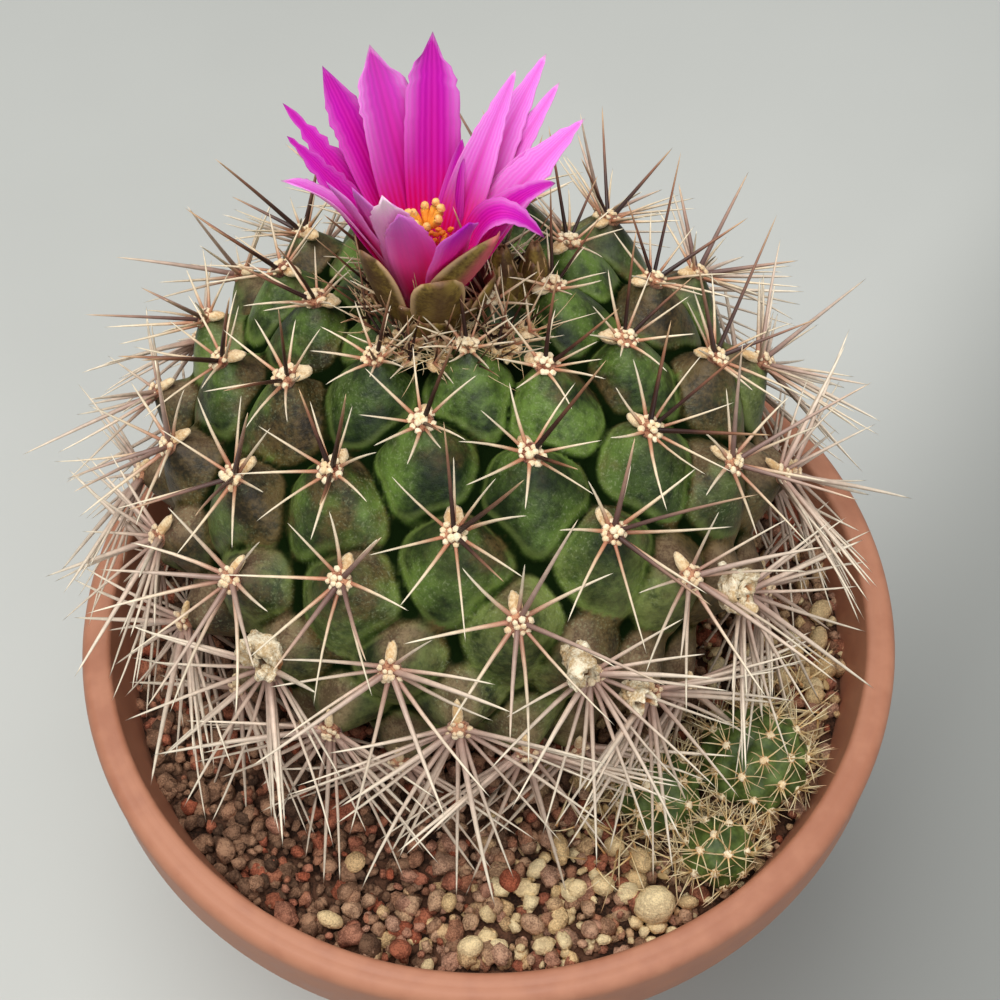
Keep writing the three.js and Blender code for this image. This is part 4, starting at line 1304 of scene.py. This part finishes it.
points, faces, numbers = blades(
    FLOWER_FOOT, np.radians(turn), feet, bends, np.stack([reach, height], -1), width, thickness=0.32,
    hook=hook, twist=twist, roll=0.22, ripple=0.3, cup=0.1, steps=40, columns=17, widest=mix(0.5, 0.7, blunt),
    foot_width=0.42, point_power=mix(1.7, 5.5, blunt), ragged=0.06 + ragged, torn=3.4 * blunt, sway=sway)
numbers["pale"] = per_point(points, pale)
print("petals:", len(PETALS), "of", len(points) // len(PETALS), "points")

# %% Petal silk
material, nodes, surface = make_material("petal_silk", Roughness=0.55, Specular_IOR_Level=0.12,
                                         Subsurface_Weight=0.3, Subsurface_Scale=0.0015)
surface.inputs["Subsurface Radius"].default_value = (1.0, 0.25, 0.9)
along, aside, pale_value = (nodes.value(name) for name in ("along", "across", "pale"))
across = nodes.math("ABSOLUTE", aside)
inner = nodes.ramp(along, (0.0, 190, 0, 50), (0.27, 232, 0, 66), (0.42, 226, 0, 94), (0.6, 184, 0, 142),
                   (0.88, 180, 12, 162), (0.97, 166, 18, 148), (1.0, 96, 20, 84))
margin = nodes.times(nodes.remap(across, 0.35, 1.0), nodes.remap(along, 0.45, 0.9))
margin = nodes.times(margin, nodes.plus(nodes.times(pale_value, 0.8), 0.1))
color = nodes.blend(margin, inner, chart(250, 178, 244))
wash = nodes.times(nodes.remap(along, 0.38, 0.8), nodes.remap(pale_value, 0.45, 1.0, 0.0, 0.75))
color = nodes.blend(wash, color, chart(255, 150, 244))
from_middle = nodes.math("ABSOLUTE", nodes.plus(aside, 0.04))
stripe = nodes.times(nodes.remap(from_middle, 0.0, 0.34, 1.0, 0.0), nodes.remap(along, 0.95, 0.5, 0.2, 0.75))
color = nodes.blend(stripe, color, chart(190, 0, 130))
lines = nodes.add("ShaderNodeCombineXYZ", {0: aside, 1: nodes.times(along, 0.2)}).outputs[0]
waves = {"Vector": lines, "Scale": 1.5, "Distortion": 3.2, "Detail": 2.0}
veins = nodes.add("ShaderNodeTexWave", waves).outputs["Fac"]
color = nodes.blend(nodes.times(veins, 0.3), color, chart(232, 50, 196))

# %% Backs of the petals
outer = nodes.ramp(along, (0.0, 230, 44, 70), (0.3, 255, 26, 92), (0.6, 255, 38, 142), (1.0, 178, 24, 184))
outer_pale = nodes.ramp(along, (0.0, 230, 60, 84), (0.3, 246, 56, 122), (0.6, 255, 122, 198),
                        (0.85, 255, 170, 220), (1.0, 255, 228, 236))
outer = nodes.blend(nodes.remap(pale_value, 0.0, 1.0), outer, outer_pale)
outer = nodes.blend(nodes.remap(across, 0.45, 1.0, 0.0, 0.35), outer, chart(250, 160, 230))
feed(nodes, surface, Base_Color=nodes.blend(nodes.value("back"), color, outer),
     Normal=nodes.bump(veins, 0.15, 0.0003))
make_piece("petals", points, faces, material, "petals", ["flower_petals"], **numbers)

# %% Tube and its scales
# Each row of SCALES: direction in degrees, reach, height, width, twist, foot, sway, bluntness, blush.
TUBE_RADIUS = 7.4
TUBE_PROFILE = np.array([
    [0, 0], [4.4, 0.1], [6.2, 2.6], [7.2, 5.4], [TUBE_RADIUS, 8], [7.0, 8.2], [6.6, 7.4], [6.0, 5], [0, 4.6],
])
SCALES = [
    [-146, 12.4, 26, 9.6, 0.3, 3.2, 0, 0, 0], [-79, 13.4, 25, 9.6, 0, 5, 0, 0.6, 0],
    [-56, 14.6, 31.8, 12, 0.1, 14, 4.8, 0, 1], [-20, 12.5, 17, 8, 0, 3.2, 0, 0, 0],
    [30, 13.5, 21, 8, 0, 3.2, 0, 0, 0], [78, 13, 21, 8, 0, 3.2, 0, 0, 0], [120, 13, 21, 8, 0, 3.2, 0, 0, 0],
    [162, 13.5, 22, 8.5, 0, 3.2, 0, 0, 0], [206, 10.5, 15, 7, 0, 3.2, 0, 0, 0],
    [-118, 9.6, 14, 8, 0, 0.4, 0, 0, 0], [-88, 10.8, 12, 8, 0, 0.4, 0, 0, 0],
    [-48, 10.4, 14, 8, 0, 0.4, 0, 0, 0],
    *([turn, 10.6, 9, 6, 0, 0.4, 0, 0, 0] for turn in (0, 55, 100, 142, 186)),
]
PLAIN_TISSUE = {"along": 0.2, "across": 0.0, "back": 1.0, "blush": 0.0}


def wrapped(points, faces, numbers, centre, heart, columns):
    """Blades and the turned heart that they wrap, as one piece. The heart has plain tissue's numbers."""
    heart_points, heart_faces = turned(heart, columns)
    points, faces = together((points, faces), (heart_points + centre, heart_faces))
    plain = {key: np.full(len(heart_points), PLAIN_TISSUE[key]) for key in numbers}
    return points, faces, {key: np.concatenate([numbers[key], plain[key]]) for key in numbers}


turn, reach, height, width, twist, foot, sway, blunt, blush = np.array(SCALES).T
feet = np.stack([np.full(len(SCALES), TUBE_RADIUS - 1.4), foot], -1)
bends = np.stack([reach - 1.6, mix(foot, height, 0.35)], -1)
points, faces, numbers = blades(
    FLOWER_FOOT, np.radians(turn), feet, bends, np.stack([reach, height], -1), width, thickness=0.7,
    widest=0.55, foot_width=0.45, point_power=2.6 + 3 * blunt, cup=0.2, twist=twist, sway=sway, steps=14)
numbers["blush"] = per_point(points, blush)
points, faces, numbers = wrapped(points, faces, numbers, FLOWER_FOOT, TUBE_PROFILE, 48)

# %% Scale tissue
scale_tissue, nodes, surface = make_material("scale_tissue", Roughness=0.5, Specular_IOR_Level=0.4)
tissue = tones(nodes, (82, 60, 24), (142, 118, 54), 240.0, 0.6)
across = nodes.math("ABSOLUTE", nodes.value("across"))
color = nodes.blend(nodes.remap(across, 0.0, 0.7, 0.6, 0.0), tissue, chart(74, 40, 34))
color = nodes.blend(nodes.remap(across, 0.78, 1.0, 0.0, 0.9), color, chart(214, 178, 134))
blushed = nodes.times(nodes.value("blush"), nodes.remap(nodes.value("across"), -0.6, 0.1))
color = nodes.blend(nodes.times(blushed, 0.85), color, chart(222, 92, 112))
inside = nodes.blend(nodes.value("along"), chart(150, 70, 90), chart(176, 130, 96))
feed(nodes, surface, Base_Color=nodes.blend(nodes.value("back"), inside, color),
     Normal=pores(nodes, 900.0, 0.3, 0.0005))
make_piece("flower_scales", points, faces, scale_tissue, "flower_scales", ["flower_tube"], **numbers)

# %% [markdown]
# Inside the funnel stand some sixty thin stamens with orange-yellow anthers, and above them the style
# opens into a claw of thick, creamy stigma lobes. Each thread and each lobe is a tube, and each anther is a
# soft lump.

# %% Stamens
THREADS = 64
THREAD_ROOT = 6.3
THREAD_RADIUS = 0.16
random = np.random.default_rng(77)
index = np.arange(THREADS)
turn = index * 2.4 + 0.2 * random.random(THREADS)
ring = np.sqrt((index + 1) / THREADS)[:, None]
root = FLOWER_FOOT + 3.0 * ring * circling(turn) + [0, 0, THREAD_ROOT]
way = unit((0.1 + 0.2 * ring) * circling(turn) + [0, 0, 1])
length = 9 + 4.5 * random.random(THREADS)
share = np.linspace(0, 1, 6)[None, :, None]
paths = root[:, None] + way[:, None] * (length[:, None, None] * share)
paths = paths + share ** 2 * (np.array([0, 0, 1.2]) - 1.2 * way[:, None] * [1, 1, 0])
threads = tubes(paths, np.full(paths.shape[:2], THREAD_RADIUS), 5)
anther_axes = random_turns(random, THREADS)
anthers = lumps(random, paths[:, -1], np.full((THREADS, 3), 0.5) * [1, 1, 1.5], anther_axes, 6, 4, 0.1)

# %% Style and stigma
STYLE_HEIGHT = 25
STYLE_RADIUS = 0.85
LOBES = 8
LOBE_SIDES = 8
style_path = FLOWER_FOOT + mix(THREAD_ROOT, STYLE_HEIGHT, share) * [0, 0, 1]
style = tubes(style_path, np.full(style_path.shape[:2], STYLE_RADIUS), 10)
lobe_turn = even_turns(LOBES) + 0.5 * random.random(LOBES)
lobe_size = mix(0.75, 1.15, random.random((LOBES, 1, 1)))
share = np.linspace(0, 1, 8)[None, :, None]
lobe_reach = 0.5 + 2.2 * lobe_size * np.sin(share * 2.5)
lobe_paths = FLOWER_FOOT + [0, 0, STYLE_HEIGHT - 0.6] + circling(lobe_turn)[:, None] * lobe_reach
lobe_paths = lobe_paths + np.array([0, 0, 3.6]) * lobe_size * np.sin(share * 1.7)
lobe_radii = 0.3 + 0.5 * np.sin(math.pi * np.clip(share[0, :, 0] * 1.05, 0, 1)) ** 0.7
lobes = tubes(lobe_paths, np.broadcast_to(lobe_radii, (LOBES, 8)), LOBE_SIDES)

# %% Pollen gold
material, nodes, surface = make_material("pollen_gold", Roughness=0.55, Subsurface_Weight=0.2,
                                         Subsurface_Scale=0.001)
gold = nodes.ramp(nodes.value("ripeness"), (0.0, 236, 120, 96), (0.4, 248, 148, 24), (0.75, 254, 186, 70),
                  (1.0, 255, 218, 142))
grain = tones(nodes, (232, 214, 196), (255, 255, 255), 900.0, 0.8)
feed(nodes, surface, Base_Color=nodes.blend(1.0, gold, grain, "MULTIPLY"),
     Normal=pores(nodes, 4500.0, 0.5, 0.0003))
lobe_ripeness = mix(0.55, 1.0, np.concatenate([np.repeat(share[0, :-1, 0], LOBE_SIDES), [0, 1]]))
ripeness = np.concatenate([
    *(np.full(len(part[0]), ripe) for part, ripe in ((threads, 0.12), (anthers, 0.45), (style, 0.7))),
    np.tile(lobe_ripeness, LOBES),
])
make_piece("stamens_and_stigma", *together(threads, anthers, style, lobes), material, "stamens",
           ["flower_stamens"], ripeness=ripeness)

# %% [markdown]
# ## Buds
#
# Two closed buds wait beside the flower. Each is an ovoid heart wrapped in three whorls of pointed scales
# that hug it.

# %% Make the buds
# Each row: x, y, z, radius, length.
BUDS = [[3.4, 25.2, 186, 3.5, 17.5], [9.4, 27, 185.5, 3.1, 17]]
BUD_SCALES = 4
BUD_WHORLS = 3


def make_bud(name, node, x, y, z, radius, length, twist):
    """Scales in three whorls whose middle lines follow the heart's outline and meet at its tip."""
    centre = np.array([x, y, z])
    outline = np.array([[0, 0.0], [0.7, 0.0], [0.95, 0.3], [0.8, 0.6], [0.4, 0.85], [0, 0.97]])
    heart = outline * [radius, length]
    heart[:2, 1] = 0.2, 0.4
    count = BUD_SCALES * BUD_WHORLS
    whorl = np.repeat(np.arange(BUD_WHORLS), BUD_SCALES)
    turn = TAU * np.arange(count) / BUD_SCALES + whorl * 0.9 + twist
    low = np.stack([radius * (0.85 - 0.1 * whorl), 0.3 + 1.6 * whorl], -1)
    bend = np.stack([radius * (1.5 - 0.18 * whorl), length * (0.3 + 0.08 * whorl)], -1)
    tip = np.stack([radius * (0.85 - 0.33 * whorl), length * (0.6 + 0.2 * whorl)], -1)
    scales = blades(centre, turn, low, bend, tip, np.full(count, radius * 1.7), thickness=0.4, cup=0.3,
                    widest=0.45, foot_width=0.7, point_power=1.8, steps=10, columns=7)
    points, faces, numbers = wrapped(*scales, centre, heart, 20)
    make_piece(name, points, faces, scale_tissue, "flower_scales", [node], **numbers)


for index, bud in enumerate(BUDS):
    make_bud(f"closed_bud_{index + 1}", f"bud_{index + 1}", *bud, twist=0.5 * index)

# %% [markdown]
# ## Young offsets
#
# Three small heads have come up beside the plant at the front right. A young head has the same build as
# its parent in small: a globe with a spiral of little tubercles, each with a tuft of wool and a star of
# fine straw-coloured spines. The spiral gives equal shares of the globe's surface, since the height falls
# by the same step for each tubercle.

# %% Heads of the offsets
# Each row: x, y, z, radius, number of tubercles.
OFFSETS = [[52.6, -35.2, 119, 11, 28], [33.4, -41.6, 117.5, 8.6, 22], [44.4, -53.6, 116.5, 7, 17]]
BUMP_CREASE = 0.84
BUMP_ROOT = 0.12
BUMP_HEIGHT = 0.2
BUMP_WIDTH = 0.66
GLOBE_SHARE = 0.86
HEAD_SPREAD = 1.15
HEAD_VOXEL = 0.42
offset_flesh, nodes, surface = make_material("offset_flesh", Roughness=0.5, Specular_IOR_Level=0.4)
fresh = tones(nodes, (58, 78, 30), (104, 124, 58), 160.0, 0.4)
# Painted shade: the flesh darkens down into the creases between the little tubercles. The tips are paler.
color = nodes.blend(nodes.remap(nodes.value("height"), 0.0, 0.8), chart(30, 42, 16), fresh)
color = nodes.blend(nodes.remap(nodes.value("height"), 0.75, 1.15, 0.0, 0.5), color, chart(142, 148, 86))
feed(nodes, surface, Base_Color=color, Normal=pores(nodes, 700.0, 0.3, 0.0005))


def head_ways(count, seed):
    """Outward ways on a globe by the golden angle, from the top to a little below the middle."""
    n = np.arange(count)
    height = 1 - (n + 0.4) / count * HEAD_SPREAD
    return np.sqrt(1 - height ** 2)[:, None] * circling(2.4 * n + seed) + height[:, None] * [0, 0, 1]


def frames(out):
    """Side and up of each outward way."""
    side = unit(np.cross([0.1, 0.05, 1], out))
    return side, np.cross(out, side)


def make_head(name, node, x, y, z, radius, count, seed):
    """A globe and its tubercles fused to one skin, with the height of each point above the creases."""
    centre = np.array([x, y, z])
    out = head_ways(count, seed)
    side, up = frames(out)
    width = BUMP_WIDTH * radius * math.sqrt(TAU * HEAD_SPREAD / count)
    level = np.linspace(0, 0.97, 8)[None, :, None, None]
    fat = width * (1 - level ** 2) ** 0.7
    reach = radius * (BUMP_CREASE - BUMP_ROOT + (BUMP_HEIGHT + BUMP_ROOT) * level)
    rings = centre + out[:, None, None] * reach
    rings = rings + fat * between(side[:, None, None], up[:, None, None], even_turns(14))
    tips = centre + out * radius * (BUMP_CREASE + BUMP_HEIGHT)
    bumps = skins(rings, centre + out * radius * 0.7, tips)
    polar = np.radians(np.linspace(180, 0, 16))
    globe = GLOBE_SHARE * radius * np.stack([np.sin(polar), np.cos(polar)], -1)
    globe_points, globe_faces = turned(globe, 32)
    mesh = fused(name, *together((globe_points + centre, globe_faces), bumps), HEAD_VOXEL)
    far = np.linalg.norm(mesh_points(mesh) - centre, axis=1) / radius
    add_values(mesh, height=(far - BUMP_CREASE) / BUMP_HEIGHT)
    dress(name, mesh, offset_flesh, [node])
    return tips, out


heads = [make_head(f"offset_head_{index + 1}", f"offset_{index + 1}", *head, seed=1.3 * index)
         for index, head in enumerate(OFFSETS)]
roots, outs = (np.concatenate(part) for part in zip(*heads))
sides, ups = frames(outs)

# %% Wool of the offsets
random = np.random.default_rng(41)
count = len(roots)
axes = np.stack([sides, ups, outs], 1)
tufts = lumps(random, roots - 0.1 * outs, np.full((count, 3), 0.95) * [1, 1, 0.7], axes, 8, 5, 0.2)
make_piece("offset_wool", *tufts, felt_wool, age=np.full(len(tufts[0]), 0.25))

# %% Straw colour
straw, nodes, surface = make_material("straw_spines", Roughness=0.5, Specular_IOR_Level=0.35)
color = nodes.ramp(nodes.value("along"), (0.0, 206, 150, 92), (0.2, 236, 208, 152), (0.7, 250, 238, 200),
                   (1.0, 226, 176, 132))
tint = nodes.ramp(nodes.value("vary"), (0.0, 190, 176, 158), (1.0, 255, 255, 255))
feed(nodes, surface, Base_Color=nodes.blend(1.0, color, tint, "MULTIPLY"))


def straw_piece(name, random, needles, count):
    """Straw-coloured needles as one piece, each with its own tint."""
    make_piece(name, *needles, straw, along=along_spines(count),
               vary=per_point(needles[0], random.random(count)))


# %% Fine spines
FINE_RADIALS = 8
FINE_CENTRALS = 2
number = np.tile(np.arange(FINE_RADIALS + FINE_CENTRALS), count)
owner = np.repeat(np.arange(count), FINE_RADIALS + FINE_CENTRALS)
turn = TAU * number / FINE_RADIALS + 0.5 * random.random(len(number)) + owner
rise = np.where(number < FINE_RADIALS, 0.3, 1.1) + 0.3 * random.random(len(number))
flat = between(ups[owner], sides[owner], turn)
length = np.where(number < FINE_RADIALS, 5.2, 7.0) * mix(0.75, 1.15, random.random(len(number)))
root = roots[owner] + 0.5 * flat
way = lifted(root, between(flat, outs[owner], rise), length)
radius = mix(0.13, 0.19, random.random(len(number)))
bend = 0.5 * random.normal(size=way.shape) * [1, 1, 0.6]
straw_piece("offset_spines", random, spines(root, way, length, radius, bend), len(number))

# %% [markdown]
# Dry matter gathers between the young heads and the rim: fallen spines and thin tan chaff of old flowers.
# The fallen spines are the same tubes, laid nearly flat.

# %% Fallen spines
LITTER_SPOTS = np.array([
    [60, -22], [62, -38], [43, -34], [36, -52], [55, -50], [26, -47], [66, -14], [68, -28], [44, -42],
])
LITTER_SPREAD = 6
FALLEN = 130
FALLEN_ROOT_REACH = 72
FALLEN_TIP_REACH = 74


def kept_within(places, reach):
    """Places drawn in to a reach from the pot's axis."""
    return places * np.minimum(1, reach / np.hypot(*places.T))[:, None]


def litter_places(random, count, reach):
    """Places scattered round the spots where dry matter gathers."""
    pick = random.integers(0, len(LITTER_SPOTS), count)
    return kept_within(LITTER_SPOTS[pick] + random.normal(size=(count, 2)) * LITTER_SPREAD, reach)


random = np.random.default_rng(57)
places = litter_places(random, FALLEN, FALLEN_ROOT_REACH)
root = np.column_stack([places, SOIL_TOP + 2.2 + 2.6 * random.random(FALLEN)])
turn = TAU * random.random(FALLEN)
length = mix(6, 15, random.random(FALLEN))
way = unit(circling(turn) + 0.25 * random.random((FALLEN, 1)) * [0, 0, 1])
end = root + way * length[:, None]
end[:, :2] = kept_within(end[:, :2], FALLEN_TIP_REACH)
radius = mix(0.16, 0.3, random.random(FALLEN))
bend = random.normal(size=way.shape) * [1, 1, 0.2]
fallen = spines(root, unit(end - root), np.linalg.norm(end - root, axis=1), radius, bend)
straw_piece("fallen_spines", random, fallen, FALLEN)

# %% Chaff
CHAFF = 90
CHAFF_REACH = 73
places = litter_places(random, CHAFF, CHAFF_REACH)
centres = np.column_stack([places, SOIL_TOP + 1.8 + 1.6 * random.random(CHAFF)])
radii = [mix(0.7, 1.8, random.random(CHAFF)), mix(0.4, 0.9, random.random(CHAFF)), np.full(CHAFF, 0.16)]
flakes = lumps(random, centres, np.stack(radii, -1), random_turns(random, CHAFF), 7, 3, 0.3)
make_piece("chaff", *flakes, straw, along=np.full(len(flakes[0]), 0.3),
           vary=per_point(flakes[0], random.random(CHAFF)))

# %% [markdown]
# ## Remains of old fruit
#
# Four areoles low on the front still hold the dried foot of a fruit: a crumbly cream cup with an
# orange-tan side. Each is a surface of two parameters that goes up the outside, over a ragged lip and
# down into the cup, pushed in and out by cloud noise, with a handful of crumbs round it.

# %% Crusty cups
# Each row: areole number, radius, height, lean to the apex, place beside and above.
CUPS = [
    [57, 3.9, 4.4, 0.35, -5, 5.5], [55, 4.2, 4.2, -0.1, 0.5, 5.5], [52, 3.0, 5.5, -0.5, -2.5, 6],
    [65, 2.4, 4.0, 0.25, -4.5, 5],
]
CUP_OUTLINE = np.array([
    [0.0, 0.5, 0.0], [0.2, 0.85, 0.15], [0.45, 1.0, 0.6], [0.6, 1.02, 0.95], [0.68, 0.85, 1.0],
    [0.76, 0.62, 0.85], [0.9, 0.4, 0.5], [1.0, 0.1, 0.42],
])
CUP_LEVELS = 26
CUP_SIDES = 36
cup = np.array(CUPS)
wide, tall = cup[:, 1, None, None], cup[:, 2, None, None]
held = Areoles(cup[:, 0])
out = unit(held.out + cup[:, 3:4] * held.up)
up = np.cross(out, held.side)
share = np.linspace(0, 1, CUP_LEVELS)[None, :, None]
angle = even_turns(CUP_SIDES)[None, None, :]
radius, height = (np.interp(share, CUP_OUTLINE[:, 0], CUP_OUTLINE[:, axis]) for axis in (1, 2))
lip = np.exp(-((share - 0.66) / 0.1) ** 2)
height = height * tall + lip * (0.9 * np.sin(3 * angle + cup[:, :1, None]) + 0.5 * np.sin(7 * angle))
spot = held.place + cup[:, 5:] * held.up + cup[:, 4:5] * held.side - 1.2 * held.out
rings = spot[:, None, None] + out[:, None, None] * height[..., None]
rings = rings + (radius * wide)[..., None] * between(held.side[:, None, None], up[:, None, None], angle)
rough = cloud(rings, 1.5, 9) + 0.6 * cloud(rings, 0.7, 10)
middle = spot[:, None, None] + out[:, None, None] * (0.4 * tall[..., None])
rings = rings + unit(rings - middle) * (0.8 * rough)[..., None]
cups = skins(rings, rings[:, 0].mean(1) - 0.5 * out, rings[:, -1].mean(1))

# %% Crumbs and crust
CRUMBS = 26
random = np.random.default_rng(63)
scatter = random.normal(size=(len(cup), CRUMBS, 3)) * wide * 0.36
crumb_places = (spot + out * cup[:, 2:3] * 0.25)[:, None] + scatter
crumb_radii = mix(0.5, 1.3, random.random((len(cup) * CRUMBS, 3)))
crumb_axes = random_turns(random, len(cup) * CRUMBS)
crumbs = lumps(random, crumb_places.reshape(-1, 3), crumb_radii, crumb_axes, 9, 6, 0.2)


def with_poles(grid, last, crumb):
    """Numbers of the cups' rings, of each cup's two poles behind them, and of the crumbs."""
    poles = np.tile([0.0, last], (len(cup), 1))
    on_cups = np.concatenate([grid.reshape(len(cup), -1), poles], 1).ravel()
    return np.concatenate([on_cups, np.full(len(crumbs[0]), crumb)])


# Painted shade: the inside of each cup and the pits of its crust are marked for darkening.
hollow = np.maximum(smoothstep(0.68, 0.95, share), 0.7 * smoothstep(0.15, 0.9, -rough))
tan = smoothstep(0.3, 0.9, np.sin(angle + 2.2)) * (1 - lip) + 0.3 * cloud(rings, 2.5, 11)
crust, nodes, surface = make_material("fruit_crust", Roughness=0.92, Specular_IOR_Level=0.2)
pale = tones(nodes, (204, 174, 130), (252, 240, 212), 300.0, 0.8)
color = nodes.blend(nodes.remap(nodes.value("tan"), 0.2, 0.9), pale, chart(186, 128, 84))
# Painted shade: darker brown inside the cups and in the crust's pits.
color = nodes.blend(nodes.remap(nodes.value("hollow"), 0.3, 1.0), color, chart(92, 64, 44))
feed(nodes, surface, Base_Color=color, Normal=pores(nodes, 1400.0, 0.7, 0.0008))
make_piece("fruit_remains", *together(cups, crumbs), crust, tan=with_poles(tan, 0.0, 0.2),
           hollow=with_poles(hollow, 1.0, 0.0))

# %% [markdown]
# ## The woolly crown
#
# New areoles form at the apex faster than the flesh between them, so the crown is a tangle of cream wool
# and short young spines, from which the flower and the buds come up.

# %% Crown wool
TUFTS = 100
random = np.random.default_rng(91)
polar = 0.04 + 0.22 * np.sqrt((np.arange(TUFTS) + 0.5) / TUFTS)
turn = np.arange(TUFTS) * 2.4 + 0.3 * random.random(TUFTS)
places, outs = on_body(polar, turn)
blooms = np.array([[*FLOWER_FOOT[:2], 8.5], *([x, y - 2, 7] for x, y, *_ in BUDS)])
free = (np.hypot(*(places[:, None, :2] - blooms[:, :2]).T) > blooms[:, 2:]).all(0)
places, outs = places[free], outs[free]
sides, ups = frames(outs)
count = len(places)
places = places - outs * mix(4.6, 3.6, random.random((count, 1)))
radii = mix(0.9, 1.9, random.random((count, 3))) * [1, 1, 0.45]
wool = lumps(random, places, radii, np.stack([sides, ups, outs], 1), 10, 7, 0.2)
make_piece("crown_wool", *wool, felt_wool, part=np.full(len(wool[0]), PAD_PART))

# %% Crown hairs
HAIRS_EACH = 6
owner = np.repeat(np.arange(count), HAIRS_EACH)
turn = TAU * random.random(len(owner))
flat = between(ups[owner], sides[owner], turn)
length = mix(3, 7, random.random(len(owner)))
way = unit(flat + mix(0.1, 0.9, random.random((len(owner), 1))) * outs[owner])
radius = mix(0.09, 0.16, random.random(len(owner)))
bend = 0.35 * length[:, None] * random.normal(size=way.shape)
straw_piece("crown_hairs", random, spines(places[owner] + flat, way, length, radius, bend), len(owner))

# %% Crown bristles
BRISTLES_EACH = 3
BRISTLE_SPREAD = 0.35
DARK_SHARE = 0.65
owner = np.repeat(np.arange(count), BRISTLES_EACH)
turn = TAU * random.random(len(owner))
rise = mix(0.4, 1.25, random.random(len(owner)))
away = unit(places - BODY_CENTRE - [0, 0, 30])[owner]
flat = between(ups[owner], sides[owner], turn)
way = unit(between(flat, outs[owner], rise) + BRISTLE_SPREAD * away)
length = mix(8, 16, random.random(len(owner)) ** 1.5)
radius = mix(0.18, 0.34, random.random(len(owner)))
bend = random.normal(size=way.shape) * 0.6
points, faces = spines(places[owner] + 0.5 * outs[owner], way, length, radius, bend)
dark = (random.random(len(owner)) < DARK_SHARE).astype(float)
make_piece("crown_bristles", points, faces, spine_horn, along=along_spines(len(owner)),
           age=np.zeros(len(points)), central=per_point(points, dark),
           vary=per_point(points, random.random(len(owner))))
